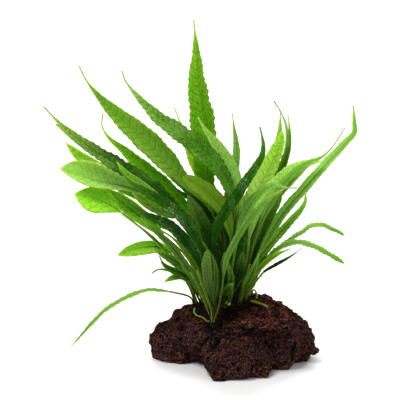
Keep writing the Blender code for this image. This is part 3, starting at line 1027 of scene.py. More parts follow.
@dataclass(frozen=True)
class Rhizome:
    """One run of the creeping stem, in plan, in millimetres."""

    name: str
    plan: tuple[tuple[float, float], ...]
    radius: float = 2.2 * MM
    gap: float = 0.35 * MM
    step: float = 2.2 * MM

    def height_over(self, surface: BVHTree, x: float, y: float) -> float:
        """Return how high the stem's middle lies when it rests on the stone at x, y.

        Args:
            surface: The stone's surface.
            x: A place, in metres.
            y: A place, in metres.

        Returns:
            The height, in metres.
        """
        rings, turns, sky = 4, 8, 0.15
        radius = self.radius + self.gap
        highest = 0.0
        for ring in range(rings + 1):
            reach = radius * ring / rings
            for turn in range(turns if ring else 1):
                angle = math.tau * turn / turns
                above = Vector((x + reach * math.cos(angle), y + reach * math.sin(angle), sky))
                hit = surface.ray_cast(above, DOWN)[0]
                if hit is not None:
                    highest = max(highest, hit.z + math.sqrt(max(radius**2 - reach**2, 0.0)))
        return highest

    def route(self, surface: BVHTree) -> Route:
        """Return the run's route over the stone.

        Args:
            surface: The stone's surface.

        Returns:
            The points of its middle line.
        """
        route, _ = smooth_route([Vector((x * MM, y * MM, 0)) for x, y in self.plan], self.step)
        for point in route:
            point.z = self.height_over(surface, point.x, point.y)
        eased = [point.copy() for point in route]
        for i, point in enumerate(eased):
            point.z = max(near.z for near in route[max(i - 1, 0):i + 2])
        return eased


class Run(Enum):
    """The rhizome's three runs, which part at its forks."""

    MAIN = Rhizome("rhizome_main", ((-23.5, 0), (-15, -5), (-7, -7), (2, -7), (10, -5)))
    FRONT = Rhizome("rhizome_front_fork", ((-9, -10.5), (-10, -17), (-14.5, -24.5)))
    BACK = Rhizome("rhizome_back_fork", ((-1, -3.5), (0, 7), (-4, 17)))


Runs = dict[Run, Route]


# The fronds


class Blade(Enum):
    """Outlines of a blade: the share of it where it is fullest, and how sharply it tapers."""

    DRAWN_OUT = (0.48, 4.2)
    LANCE = (0.45, 2.3)
    LEAFY = (0.52, 1.5)
    BLUNT = (0.6, 1.1)
    STRAP = (0.42, 1.15)
    LONG_DARK = (0.5, 2.8)
    TALLEST = (0.46, 2.8)
    CROSSING = (0.45, 3.0)
    WHIP = (0.38, 3.6)
    POINTED = (0.7, 3.0)
    OVATE = (0.57, 2.3)
    SPARE = (0.4, 2.6)
    SUDDEN = (0.6, 2.2)
    SLENDER = (0.4, 1.7)
    DRAWN_FULL = (0.51, 4.6)
    RIBBON = (0.5, 0.45)


@dataclass(frozen=True)
class Frond:
    """One frond: where it grows, where its midrib is seen, and the form of its blade.

    Attributes:
        name: Its name, which its solid has too if it has one.
        leaf: Its kind of leaf.
        run: The run of the rhizome that it grows from.
        along: How far along the run it grows, from 0 to 1.
        depth: Its tip's place along Y, in millimetres.
        width: Its blade's full width, in millimetres.
        stalk: The share of its length that is stalk.
        blade: Its outline.
        roll: How far the blade turns from facing the viewer, in degrees.
        seen: Its midrib in the reference view.
        shade: How light its tone is: partly its own tone, partly painted light and shade, lighter where a
            blade faces away from the lamps and darker deep in the clump.
        under: Whether the underside faces the viewer.
        scallop: How far its margins wave, as a share of the width.
        scallop_length: The length of one wave, in millimetres.
        lean: How far the midrib lies off the blade's middle.
        wing: The half width of the stalk's margins, in millimetres.
    """

    name: str
    leaf: Leaf
    run: Run
    along: float
    depth: float
    width: float
    stalk: float
    blade: Blade
    roll: float
    seen: tuple[Pixel, ...]
    shade: float = 1.0
    under: bool = False
    scallop: float = 0.05
    scallop_length: float = 4.2
    lean: float = 0.0
    wing: float = 0.95

    stalk_half: float = 0.55 * MM
    tip_half: float = 0.55 * MM
    lamina_half: float = 0.13 * MM
    fold: float = 0.16
    arch: float = 0.05
    vein_gap: float = 0.34
    vein_gaps: tuple[float, float] = (3.0 * MM, 5.2 * MM)
    vein_slant: float = 0.75
    ring_step: float = 1.05 * MM
    columns: int = 8

    def root(self, run: Route) -> Vector:
        """Return where the frond leaves its rhizome, on the side that it leans to.

        Args:
            run: The rhizome's middle line.

        Returns:
            The point, just clear of the rhizome.
        """
        pull, reach_out, swing_most, clearance = 0.6, 22 * MM, math.radians(62), 0.22 * MM
        place = self.along * (len(run) - 1)
        low = min(int(place), len(run) - 2)
        centre = run[low].lerp(run[low + 1], place - low)
        axis = (run[low + 1] - run[low]).normalized()
        upward = (Vector((0, 0, 1)) - axis * axis.z).normalized()
        first = VIEW.point(self.seen[0], centre.y)
        outward = (first - centre) * pull + Vector((0, self.depth * MM - centre.y, 0))
        outward -= axis * outward.dot(axis) + upward * outward.dot(upward)
        swing = swing_most * math.tanh(outward.length / reach_out)
        lean = upward * math.cos(swing) + outward.normalized() * math.sin(swing)
        rhizome = self.run.value
        return centre + lean * (rhizome.radius + rhizome.gap + clearance)

    def route(self, runs: Runs) -> tuple[Route, float]:
        """Return the midrib from its rhizome to its tip, and its length.

        Args:
            runs: The rhizome's middle lines.

        Returns:
            Closely spaced points, and the length.
        """
        first_stretch, ease = 0.6, 1.1
        root = self.root(runs[self.run])
        reach = [0.0]
        for a, b in zip(self.seen, self.seen[1:]):
            reach.append(reach[-1] + math.dist(a, b))
        start = math.dist(self.seen[0], self.seen[1]) * first_stretch
        points = [root]
        for pixel, gone in zip(self.seen, reach):
            share = (gone + start) / (reach[-1] + start)
            depth = root.y + (self.depth * MM - root.y) * share**ease
            points.append(VIEW.point(pixel, depth))
        return smooth_route(points, self.ring_step)

    def directions(self, centre: np.ndarray) -> tuple[np.ndarray, np.ndarray]:
        """Return which way the blade's side and its face look along the midrib.

        Args:
            centre: The midrib's points.

        Returns:
            Both directions at each point.
        """
        tangent = np.gradient(centre, axis=0)
        tangent /= np.linalg.norm(tangent, axis=1)[:, None]
        facing = np.array(VIEW.axes()[0]) - centre
        facing -= tangent * np.sum(facing * tangent, axis=1)[:, None]
        facing /= np.linalg.norm(facing, axis=1)[:, None]
        side = np.cross(tangent, facing)
        angle = math.radians(self.roll)
        return (side * math.cos(angle) + np.cross(tangent, side) * math.sin(angle),
                facing * math.cos(angle) + np.cross(tangent, facing) * math.sin(angle))

    def half_width(self, share: np.ndarray) -> np.ndarray:
        """Return the frond's half width at shares of its length.

        Args:
            share: From 0 at the root to 1 at the tip.

        Returns:
            The half widths, in metres.
        """
        t = np.clip((share - self.stalk) / (1 - self.stalk), 0, 1)
        full, taper = self.blade.value
        rise = (t / full) ** (full * taper)
        fall = ((1 - t) / (1 - full)) ** ((1 - full) * taper)
        half = self.width * MM / 2 * rise * fall
        narrow = self.stalk_half * (1 - t) + self.tip_half * t
        winged = self.wing * MM * np.clip(share / 0.1, 0.45, 1) * (1 - t) + self.tip_half * t
        return np.maximum(half, np.maximum(narrow, winged))

    def spread(self, rib: np.ndarray, half: np.ndarray) -> np.ndarray:
        """Return where the columns of points stand across the blade, closer over the midrib.

        Args:
            rib: The midrib's half width at each ring of points.
            half: The blade's half width there.

        Returns:
            Each column's place at each ring, from -1 to 1.
        """
        inner = np.minimum(0.75, 1.3 * rib / half)
        outer = self.columns - 3
        right = [np.zeros(len(half)), inner * 0.6, inner]
        right += [inner + (1 - inner) * j / outer for j in range(1, outer + 1)]
        return np.stack([-column for column in right[:0:-1]] + right)

    def margins(self, half: np.ndarray, blade: np.ndarray, reach: np.ndarray,
                seed: int) -> list[np.ndarray]:
        """Return the half widths at the left and at the right, scalloped each in its own way.

        Args:
            half: The plain half width at each ring of points.
            blade: 0 where a ring is stalk and 1 where it is blade.
            reach: The ring's distance from the root, in metres.
            seed: What the scallops' places come from.

        Returns:
            Both half widths.
        """
        draw = random.Random(seed)
        length = self.scallop_length * MM
        sides = []
        for _ in range(2):
            phase = draw.uniform(0, math.tau)
            drift = np.cumsum([draw.gauss(0, 0.35) for _ in range(len(half))]) * 0.25
            wave = np.sin(reach / length * math.tau + phase + drift)
            swell = np.sin(reach / (length * 3.7) * math.tau + draw.uniform(0, math.tau))
            sides.append(half * (1 + blade * (self.scallop * wave + self.scallop * 0.8 * swell)))
        return sides

    def build(self, runs: Runs, relief: GeometryTree, seed: int) -> bpy.types.Object:
        """Build the frond: a closed blade swept along its midrib, then quilted and ruffled.

        Args:
            runs: The rhizome's middle lines.
            relief: The tree that quilts and ruffles a blade.
            seed: What its small irregularities come from.

        Returns:
            The frond, at the origin.
        """
        route, total = self.route(runs)
        centre = np.array(route)
        side, facing = self.directions(centre)
        share = np.linspace(0, 1, len(centre))
        reach = share * total
        half = self.half_width(share)
        blade = np.clip((half - self.stalk_half) / (1.5 * MM), 0, 1)
        rib = np.minimum(self.stalk_half * (1 - share) ** 0.8 + 0.1 * MM, half)

        across = self.spread(rib, half)
        left, right = self.margins(half, blade, reach, seed)
        place = (self.lean + across * (1 - self.lean * np.sign(across))) * np.where(across < 0, left, right)
        out = place - self.lean * half
        spacing = np.clip(self.width * MM * self.vein_gap, *self.vein_gaps)
        phase = (reach - self.vein_slant * np.abs(out)) / spacing

        core = np.sqrt(np.clip(rib**2 - out**2, 0, None))
        lamina = self.lamina_half * np.sqrt(np.clip(1 - across**2, 0, None)) * blade
        sheet = ((half - rib) * self.fold * np.abs(across) ** 1.15
                 + half * self.arch * np.sin(np.pi * np.abs(across)) * blade)
        top = sheet + np.maximum(lamina, core * (1 - 0.7 * blade))
        bottom = sheet - np.maximum(lamina, core)

        ring = [(j, top, self.under) for j in range(len(across))]
        ring += [(j, bottom, not self.under) for j in range(len(across) - 2, 0, -1)]
        points, places, forms = [], [], []
        for j, height, below in ring:
            points.append(centre + side * place[j][:, None] + facing * height[j][:, None])
            places.append(np.stack([across[j], phase[j], share], axis=1))
            forms.append(np.stack([half, np.full_like(half, below), np.full_like(half, self.shade)], axis=1))
        corners = np.stack(points, axis=1).reshape(-1, 3)
        piece = mesh_object(self.name, corners, skin(len(centre), len(ring)))
        lifts = [facing] * len(ring)
        for name, values in (("leaf_place", places), ("leaf_form", forms), ("leaf_lift", lifts)):
            write_attribute(piece.data, name, "FLOAT_VECTOR", np.stack(values, axis=1))
        relief.run(piece, Quilt_height=(0.16 + 0.012 * self.width) * MM,
                   Ruffle_height=(0.25 + 0.05 * self.width) * MM, Seed=float(seed),
                   Finish=self.leaf.finish.material())
        return piece


FRONDS = (
    # The left side
    Frond("frond_left_arching", Leaf.WAVY, Run.MAIN, 0.0, -10, 6, 0.2, Blade.STRAP, 62,
        ((190, 297), (175, 292.7), (160, 290.6), (145, 291), (128, 297.3), (110, 307.3), (95, 320.5),
         (71, 347)), wing=0.6, scallop=0.14, shade=0.95),
    Frond("frond_left_small_drooping", Leaf.FRESH, Run.MAIN, 0.06, -10, 4, 0.5, Blade.LEAFY, 20,
        ((191, 287), (186, 281), (181, 277), (173.5, 277.7), (164.7, 281.7)), wing=0.5, scallop=0.0),
    Frond("frond_left_low_curled", Leaf.MID, Run.MAIN, 0.1, -14, 5.2, 0.2, Blade.LANCE, 30,
        ((192, 282), (182, 274), (172, 270.3), (163.7, 264.7), (159.3, 256)), shade=0.75),
    Frond("frond_left_low_pointed", Leaf.MID, Run.MAIN, 0.16, -24, 7, 0.2, Blade.LANCE, -25,
        ((194, 278), (187, 269), (177, 262), (167, 256.5), (157.5, 251.7), (152, 248)), shade=0.75),
    Frond("frond_left_low_bright", Leaf.BROAD, Run.MAIN, 0.02, 8, 9.6, 0.5, Blade.LEAFY, 25,
        ((187, 279), (177, 262), (168, 251), (156, 247.5), (142, 248.4), (130, 251.3), (118, 255)),
        wing=0.6, scallop=0.0, lean=0.1, shade=0.88),
    Frond("frond_left_front", Leaf.MID, Run.FRONT, 0.82, -44, 5.4, 0.12, Blade.STRAP, -30,
        ((201, 292), (192.8, 277), (186, 265.5), (179.3, 256), (171.7, 246.2), (162.3, 236.7),
         (152, 227.7), (140, 217.5)), shade=0.7, wing=0.65),
    Frond("frond_left_broad_lower", Leaf.BROAD, Run.MAIN, 0.09, 2, 18.2, 0.7, Blade.OVATE, 26,
        ((186, 277), (167, 253.5), (149.5, 236), (135.5, 223.5), (120, 212), (106, 204), (91, 199.4),
         (74.3, 194)), wing=0.6, scallop=0.0, lean=0.1, shade=1.1),
    Frond("frond_left_olive_outer", Leaf.BROAD, Run.MAIN, 0.13, 18, 12, 0.5, Blade.LEAFY, 35,
        ((194, 270), (182, 252), (167, 238), (151, 226), (136, 214), (119, 200.5), (102, 188.5)),
        wing=0.6, scallop=0.0),
    Frond("frond_left_olive_inner", Leaf.OLIVE, Run.MAIN, 0.2, 30, 7.6, 0.55, Blade.LEAFY, 30,
        ((197, 266), (187, 248), (172, 233), (156, 222.5), (143, 216.5), (132.4, 209.8), (125.4, 200.7),
         (118.5, 191)), wing=0.6, scallop=0.01),
    Frond("frond_left_broad_upper", Leaf.SHEEN, Run.MAIN, 0.18, 3, 17.6, 0.5, Blade.POINTED, 28,
        ((204, 268), (197, 248), (187, 230), (172, 214), (153, 199), (132, 187), (112, 180.5),
         (93, 175.6), (76, 170.5), (60, 168.7)), wing=0.6, scallop=0.0, lean=-0.35, shade=1.05),
    Frond("frond_left_yellow_tip", Leaf.YELLOW, Run.MAIN, 0.3, 19, 12.5, 0.4, Blade.LEAFY, 32,
        ((208, 262), (200, 244), (188, 227), (170, 211), (148, 198), (124.5, 186), (104.5, 174.8),
         (89, 164), (76, 153.5), (66, 143)), scallop=0.0, shade=0.88),
    Frond("frond_left_glossy", Leaf.WET, Run.FRONT, 0.64, -49, 7.5, 0.3, Blade.LANCE, -20,
        ((209, 282), (204, 257), (196, 238), (187, 223), (175, 210), (159, 199), (143, 190), (130, 182),
         (119, 169))),
    Frond("frond_left_small_bright", Leaf.FRESH, Run.FRONT, 0.32, -17, 6.6, 0.5, Blade.SUDDEN, -15,
        ((205, 276), (195, 249), (186, 229), (172, 211), (157, 198), (143, 187), (128, 175.5), (117, 162)),
        scallop=0.0),
    Frond("frond_left_long_dark", Leaf.DEEP_LIGHT_TIP, Run.FRONT, 0.08, -5, 10.6, 0.2, Blade.LONG_DARK, 28,
        ((208, 272), (198, 245), (183, 220), (162, 195), (137, 177), (112, 161.7), (89.4, 147.2),
         (65, 128.7), (43, 106)), scallop=0.08),
    Frond("frond_left_hooked", Leaf.VIVID, Run.MAIN, 0.36, 20, 11, 0.25, Blade.DRAWN_OUT, 32,
        ((213, 268), (202, 237), (184.3, 207), (162.6, 184.5), (141.6, 166.5), (123.2, 150), (109, 138),
         (102, 126), (103, 113)), shade=1.5),
    Frond("frond_left_tall", Leaf.FRESH, Run.MAIN, 0.525, 8, 16.2, 0.25, Blade.DRAWN_FULL, 28,
        ((224, 262), (216, 225), (203, 204), (185.7, 185), (165.5, 161), (142.6, 138), (119.6, 118),
         (98.8, 96.8), (86, 80), (79, 66)), scallop=0.035, shade=0.95),
    Frond("frond_left_dark_strap", Leaf.WET, Run.MAIN, 0.385, -2, 7, 0.3, Blade.LANCE, 55,
        ((217, 262), (212, 232), (204, 213), (192, 201), (178, 191), (162, 180))),
    Frond("frond_left_ribbed", Leaf.MID, Run.FRONT, 0.54, -33, 6, 0.2, Blade.SUDDEN, -22,
        ((208, 288), (204, 266), (200.5, 247), (197.5, 234), (193.5, 224.5), (187, 217), (179.5, 213.5),
         (170, 213.4), (160, 211), (150, 206.6), (140, 200.7), (132, 192)), shade=0.72),
    Frond("frond_left_dark_folded", Leaf.WET, Run.FRONT, 0.42, -23, 8.6, 0.2, Blade.SPARE, -35,
        ((205, 286), (201.5, 270), (195.5, 256), (187.5, 243), (178, 231.7), (167.7, 223.7), (157, 218.5),
         (147, 215), (137, 209), (128, 203), (117, 193))),
    # The top and the centre
    Frond("frond_top_tallest", Leaf.VIVID, Run.MAIN, 0.46, 38, 17.2, 0.25, Blade.TALLEST, -25,
        ((221, 262), (212, 225), (206.7, 188), (205, 155), (203, 120), (199.8, 100), (197.1, 78),
         (196.4, 52), (193.8, 20)), scallop=0.06),
    Frond("frond_top_narrow", Leaf.YELLOW, Run.BACK, 0.5, 50, 7.6, 0.35, Blade.DRAWN_OUT, 30,
        ((221, 250), (212, 210), (202, 182), (192, 157), (184, 136), (178.3, 118), (174.2, 107.5)),
        shade=0.82),
    Frond("frond_top_olive_blunt", Leaf.OLIVE, Run.MAIN, 0.54, -15, 11.6, 0.45, Blade.BLUNT, 25,
        ((230, 262), (230.5, 234), (223.3, 210), (210, 195), (196, 185), (183, 177)),
        scallop=0.0, shade=0.71),
    Frond("frond_top_crossing", Leaf.QUILTED, Run.MAIN, 0.64, -4, 12.3, 0.3, Blade.CROSSING, 22,
        ((237, 265), (238.5, 226), (231.5, 196.5), (222, 173.5), (204.5, 153.5), (181, 134.3),
         (157.3, 117.2), (139, 98.3), (126, 82), (122, 71)), scallop=0.07),
    Frond("frond_top_pale_back", Leaf.PALE, Run.MAIN, 0.67, 6, 10.5, 0.4, Blade.LANCE, 28,
        ((240, 240), (239, 205), (235, 183), (229.3, 167), (220.8, 152), (212, 139), (204, 128),
         (198, 117)), lean=-0.3, scallop=0.02, shade=1.0),
    Frond("frond_centre_dark_broad", Leaf.DEEP, Run.FRONT, 0.19, -14, 14, 0.15, Blade.LEAFY, -20,
        ((214, 287), (212, 258), (205, 234), (197, 215), (188, 195)), shade=0.6),
    Frond("frond_centre_dark_glossy", Leaf.WET, Run.FRONT, 0.32, -38, 7.2, 0.3, Blade.SLENDER, -25,
        ((220, 282), (214, 254), (215, 237), (219, 223), (226, 211), (234, 200), (242, 188), (249, 177),
         (256, 167), (262, 156), (263.5, 145), (262, 136), (260, 127))),
    Frond("frond_top_upright", Leaf.GREY, Run.MAIN, 0.61, 22, 9, 0.35, Blade.LANCE, -50,
        ((233, 262), (231, 220), (233.5, 185), (236.6, 160), (236.5, 142), (234, 127), (232.4, 113))),
    Frond("frond_top_dark_inner", Leaf.DEEP, Run.BACK, 0.15, 28, 9, 0.4, Blade.LEAFY, 30,
        ((228, 260), (220, 220), (212, 196), (206, 180), (201, 165)), shade=0.7),
    Frond("frond_centre_dark_short", Leaf.DEEP, Run.MAIN, 0.43, -6.5, 10, 0.2, Blade.LEAFY, 30,
        ((224, 275), (229, 245), (228, 218), (225, 192)), shade=0.65),
    # The front, over the stone
    Frond("frond_front_spotted", Leaf.MID, Run.FRONT, 0.74, -44, 6.5, 0.15, Blade.BLUNT, -18,
        ((212, 298), (209, 284), (207, 272), (207, 262), (208, 250)), under=True, shade=0.62, wing=0.65),
    Frond("frond_front_narrow", Leaf.MID, Run.FRONT, 0.92, -34, 4.5, 0.2, Blade.LANCE, -20,
        ((217, 294), (216, 280), (215, 268), (211, 256), (203, 242)), shade=0.5, wing=0.6),
    Frond("frond_front_long", Leaf.GREY, Run.FRONT, 1.0, -52, 4.5, 0.3, Blade.STRAP, -22,
        ((219, 305), (222, 288), (224, 272), (226, 261), (231, 249), (240, 233), (249, 219), (259, 208),
         (271, 197), (285, 188)), shade=0.72, wing=0.65),
    Frond("frond_front_right", Leaf.MID, Run.MAIN, 0.76, -30, 6, 0.12, Blade.LANCE, 25,
        ((241, 297), (245, 287), (251, 275), (256, 263), (259, 253)), shade=0.85, wing=0.65),
    # The right side
    Frond("frond_right_bright_broad", Leaf.BRIGHT, Run.MAIN, 0.73, 14, 13, 0.35, Blade.LEAFY, -28,
        ((241, 262), (242, 235), (248, 210), (256, 193), (264, 178), (271, 164), (277, 150), (281, 139),
         (282, 130))),
    Frond("frond_right_upright_dark", Leaf.VIVID, Run.MAIN, 0.84, 26, 9, 0.3, Blade.LANCE, -50,
        ((252, 262), (262, 228), (272, 197), (279, 178), (285.5, 160), (289.5, 142), (289.5, 128),
         (288, 115)), shade=0.95),
    Frond("frond_right_pale_tip", Leaf.PALE, Run.BACK, 0.03, 42, 7.6, 0.4, Blade.LANCE, -35,
        ((246, 250), (257, 210), (270, 175), (279, 140), (280.5, 110)), shade=0.85),
    Frond("frond_right_arched_pale", Leaf.PALE, Run.MAIN, 0.79, -14, 9.6, 0.35, Blade.LEAFY, -30,
        ((246, 262), (251, 228), (259, 207), (268, 194), (279, 182), (290, 172), (304, 164.5), (321, 161)),
        shade=1.25),
    Frond("frond_right_light_inner", Leaf.FRESH, Run.BACK, 0.25, 24, 9, 0.35, Blade.LANCE, -35,
        ((248, 255), (259, 222), (269, 204), (280, 191), (291.4, 180.6), (302.4, 171.4), (311.5, 164)),
        shade=1.15),
    Frond("frond_right_whip_tip", Leaf.GREY, Run.MAIN, 0.86, -31, 7, 0.3, Blade.WHIP, -45,
        ((248, 268), (256, 237), (268, 208), (287, 180), (306, 164), (322, 157), (333.3, 145.5),
         (345, 128)), shade=1.15),
    Frond("frond_right_hooked", Leaf.GREY, Run.FRONT, 0.0, -38, 6.5, 0.35, Blade.LANCE, -35,
        ((231, 272), (240, 228), (250, 205), (260, 193), (268, 187), (276, 184.5), (284, 187.5),
         (297, 188))),
    Frond("frond_right_long_kinked", Leaf.WAVY, Run.MAIN, 0.92, -10, 6.8, 0.12, Blade.STRAP, -28,
        ((252, 282), (259, 258), (271, 233), (285, 210.5), (301.7, 191.5), (318.4, 172.3), (331.5, 157.8),
         (345.5, 142.8), (354.2, 133), (354.5, 122), (353.3, 105.5)), shade=1.2, wing=0.7),
    Frond("frond_right_short_curved", Leaf.MID, Run.MAIN, 0.89, -34, 5.6, 0.2, Blade.STRAP, 25,
        ((249, 280), (257, 261), (266.5, 248.5), (280.7, 231.7), (292.7, 218.5), (300.7, 209.3),
         (305, 201.5), (305.5, 192)), shade=1.15, wing=0.65),
    Frond("frond_right_arching_upper", Leaf.WAVY, Run.MAIN, 0.98, 22, 5.6, 0.25, Blade.RIBBON, -58,
        ((252, 284), (264, 265), (278, 249.5), (290.5, 239.7), (303.5, 231.4), (311, 226.4), (321, 225.2),
         (332, 229.3), (344, 235)), scallop=0.14, scallop_length=2.8, shade=1.15, ring_step=0.6 * MM),
    Frond("frond_right_arching_lower", Leaf.WAVY, Run.MAIN, 1.0, -4, 6, 0.25, Blade.RIBBON, -55,
        ((251, 286), (262, 267), (272, 254), (284.5, 245.8), (298, 242.5), (313, 246.4), (329, 254.7),
         (344, 263.3)), scallop=0.14, scallop_length=2.8, shade=1.15, ring_step=0.6 * MM),
    Frond("frond_right_low_fresh", Leaf.OLIVE, Run.MAIN, 0.95, -22, 4.5, 0.25, Blade.LANCE, -30,
        ((250, 287), (257, 272), (267, 261), (279, 253.5), (290, 249)), scallop=0.0),
    Frond("frond_right_low_dark", Leaf.DEEP, Run.MAIN, 0.97, 8, 4.5, 0.2, Blade.LANCE, -62,
        ((253, 286), (263, 273), (276, 265), (290, 257), (302, 248))),
    Frond("frond_right_mid_broad", Leaf.MID, Run.MAIN, 0.82, 2, 10, 0.2, Blade.LEAFY, -25,
        ((248, 280), (253, 255), (260, 233), (269.2, 214.2), (276.8, 201.2), (281.7, 187)), shade=0.9),
    Frond("frond_right_inner_dark", Leaf.MID, Run.MAIN, 0.7, -8, 8.5, 0.2, Blade.LEAFY, 10,
        ((242, 277), (248, 247), (258, 222), (268, 198)), shade=0.8),
    Frond("frond_right_inner_low", Leaf.DEEP, Run.MAIN, 0.588, -10, 8, 0.2, Blade.LEAFY, -15,
        ((234, 279), (237, 247), (243, 222), (252, 202))),
    # The back
    Frond("frond_back_upright", Leaf.MID, Run.BACK, 0.35, 58, 12, 0.35, Blade.LANCE, 45,
        ((232, 255), (235, 220), (237, 190), (236, 165))),
    Frond("frond_back_left", Leaf.MID, Run.BACK, 0.9, 66, 13.5, 0.35, Blade.LEAFY, 40,
        ((218, 265), (204, 235), (188, 215), (172, 202))),
    Frond("frond_back_right", Leaf.DEEP, Run.BACK, 0.7, 62, 13.5, 0.35, Blade.LEAFY, -40,
        ((240, 265), (250, 235), (260, 210), (268, 190))),
    Frond("frond_back_arching", Leaf.FRESH, Run.BACK, 1.0, 84, 9.5, 0.3, Blade.LEAFY, 20,
        ((226, 270), (226, 245), (222, 232), (216, 236))),
    # One more at the front
    Frond("frond_front_short", Leaf.MID, Run.FRONT, 0.13, -32, 5.5, 0.2, Blade.LEAFY, 5,
        ((223, 298), (226, 291), (233, 283)), shade=0.6),
    # Dark leaves inside the clump, which have no solids; their dark tone is partly painted shade
    Frond("frond_inner_core_left", Leaf.DEEP, Run.MAIN, 0.3, 4, 9, 0.1, Blade.LEAFY, 10,
        ((209, 284), (200, 264), (191, 246), (184, 232)), shade=0.7),
    Frond("frond_inner_core_left_inner", Leaf.DEEP, Run.MAIN, 0.4, 5, 10, 0.1, Blade.LEAFY, -10,
        ((217, 284), (212, 262), (205, 240), (198, 224)), shade=0.65),
    Frond("frond_inner_core_middle", Leaf.DEEP, Run.MAIN, 0.5, 6, 10.5, 0.1, Blade.LEAFY, 5,
        ((226, 286), (225, 264), (222, 240), (218, 222)), shade=0.6),
    Frond("frond_inner_core_right_inner", Leaf.DEEP, Run.MAIN, 0.62, 6, 10.5, 0.1, Blade.LEAFY, -8,
        ((236, 286), (236, 262), (236, 240), (237, 220)), shade=0.6),
    Frond("frond_inner_core_right", Leaf.DEEP, Run.MAIN, 0.72, 5, 9.5, 0.1, Blade.LEAFY, 8,
        ((243, 286), (247, 264), (252, 244), (258, 226)), shade=0.65),
    Frond("frond_inner_core_low_right", Leaf.DEEP, Run.MAIN, 0.82, 3, 7, 0.1, Blade.LEAFY, 0,
        ((248, 288), (255, 270), (263, 254), (270, 240)), shade=0.7),
    Frond("frond_inner_front_left", Leaf.DEEP, Run.FRONT, 0.45, -19, 6.5, 0.1, Blade.LEAFY, 0,
        ((214, 298), (214, 285), (212, 268), (209, 254)), shade=0.7),
    Frond("frond_inner_front_middle", Leaf.DEEP, Run.FRONT, 0.25, -17, 8, 0.1, Blade.LEAFY, 12,
        ((222, 298), (224, 284), (225, 268), (225, 252)), shade=0.65),
    Frond("frond_inner_front_right", Leaf.DEEP, Run.MAIN, 0.66, -16, 8, 0.1, Blade.LEAFY, -12,
        ((232, 297), (236, 282), (240, 266), (243, 252)), shade=0.65),
    Frond("frond_inner_back_left", Leaf.DEEP, Run.BACK, 0.2, 34, 12, 0.1, Blade.LEAFY, 0,
        ((220, 284), (214, 258), (206, 232), (198, 210)), shade=0.6),
    Frond("frond_inner_back_right", Leaf.DEEP, Run.BACK, 0.3, 34, 12, 0.1, Blade.LEAFY, 0,
        ((240, 284), (244, 258), (250, 232), (256, 210)), shade=0.6),
    # Stalks, second tips and small leaves, which have no solids
    Frond("frond_left_inner_stalk", Leaf.OLIVE, Run.FRONT, 0.8, -30, 3.4, 0.15, Blade.LANCE, 0,
        ((199, 275), (191, 260), (184, 250), (177, 242), (170, 236), (162, 231)),
        shade=0.65, wing=0.5, stalk_half=0.4 * MM),
    Frond("frond_left_second_stalk", Leaf.OLIVE, Run.MAIN, 0.05, 3, 1.9, 0.1, Blade.STRAP, 0,
        ((188, 280), (170, 257), (157, 241.5), (145, 231), (133, 222), (122, 214)), shade=0.6, wing=0.8),
    Frond("frond_left_second_strap", Leaf.WET, Run.MAIN, 0.42, -8, 5, 0.2, Blade.LANCE, 20,
        ((214, 262), (213, 240), (211, 222), (203, 208), (192, 197), (181, 187), (171, 177)), wing=0.6),
    Frond("frond_right_second_tip", Leaf.GREY, Run.MAIN, 0.8, 30, 3.5, 0.3, Blade.SLENDER, -20,
        ((250, 262), (262, 225), (274, 195), (282, 170), (287, 145), (286, 125), (280, 111), (274, 101)),
        wing=0.6),
    Frond("frond_left_second_tip", Leaf.FRESH, Run.FRONT, 0.1, -1, 4, 0.2, Blade.STRAP, 10,
        ((208, 273), (197, 246), (182, 221), (161, 196), (136, 178), (111, 163), (88, 150), (68, 135),
         (56, 124)), wing=0.6),
    Frond("young_frond_right_loop", Leaf.YOUNG, Run.MAIN, 1.0, -2, 1.0, 0.1, Blade.RIBBON, 0,
        ((252.5, 300), (251.8, 295), (252.6, 290.5), (254.6, 290), (256.8, 294), (256.6, 299)),
        shade=0.6, wing=0.4, stalk_half=0.5 * MM, tip_half=0.45 * MM, ring_step=0.6 * MM),
    Frond("fallen_leaf", Leaf.OLIVE, Run.MAIN, 0.9, -7.4, 1.5, 0.2, Blade.LANCE, 15,
        ((244, 300), (254, 301.6), (262, 304.3), (268, 306.7)), wing=0.5, shade=0.8),
    Frond("frond_left_thin_dark", Leaf.DEEP, Run.MAIN, 0.02, -2, 1.8, 0.3, Blade.STRAP, 0,
        ((188, 284), (181, 277), (175, 274.5), (170, 271), (162, 269.3), (157, 270), (152, 273)), wing=0.5),
    Frond("stalk_left_front", Leaf.OLIVE, Run.FRONT, 0.95, -34, 1.6, 0.1, Blade.STRAP, 0,
        ((207, 308), (203, 297), (197, 284), (190, 272)), wing=0.45, stalk_half=0.4 * MM, shade=0.6),
    Frond("stalk_left_inner", Leaf.OLIVE, Run.FRONT, 1.0, -38, 1.6, 0.1, Blade.STRAP, 0,
        ((211, 309), (207, 298), (202, 284), (197, 270)), wing=0.45, stalk_half=0.4 * MM, shade=0.6),
    Frond("stalk_right_outer", Leaf.OLIVE, Run.MAIN, 0.9, -20, 1.6, 0.1, Blade.STRAP, 0,
        ((246, 300), (250, 289), (257, 280), (264, 272)), wing=0.45, stalk_half=0.4 * MM, shade=0.6),
    Frond("stalk_right_inner", Leaf.OLIVE, Run.MAIN, 0.85, -24, 1.6, 0.1, Blade.STRAP, 0,
        ((241, 301), (243, 290), (246, 278), (250, 264)), wing=0.45, stalk_half=0.4 * MM, shade=0.6),
    Frond("frond_front_small_left", Leaf.MID, Run.FRONT, 0.95, -40, 2.8, 0.1, Blade.LEAFY, 0,
        ((214, 302), (216, 280), (215, 265), (212, 255)), shade=0.45, wing=0.5),
    Frond("frond_front_small_right", Leaf.MID, Run.FRONT, 0.3, -34, 4, 0.1, Blade.LEAFY, 0,
        ((229, 302), (231, 280), (230, 270), (226, 261)), shade=0.6),
    # Curled young fronds
    Frond("young_frond_left_curl", Leaf.YOUNG, Run.FRONT, 0.97, -26, 1.2, 0.9, Blade.BLUNT, 0,
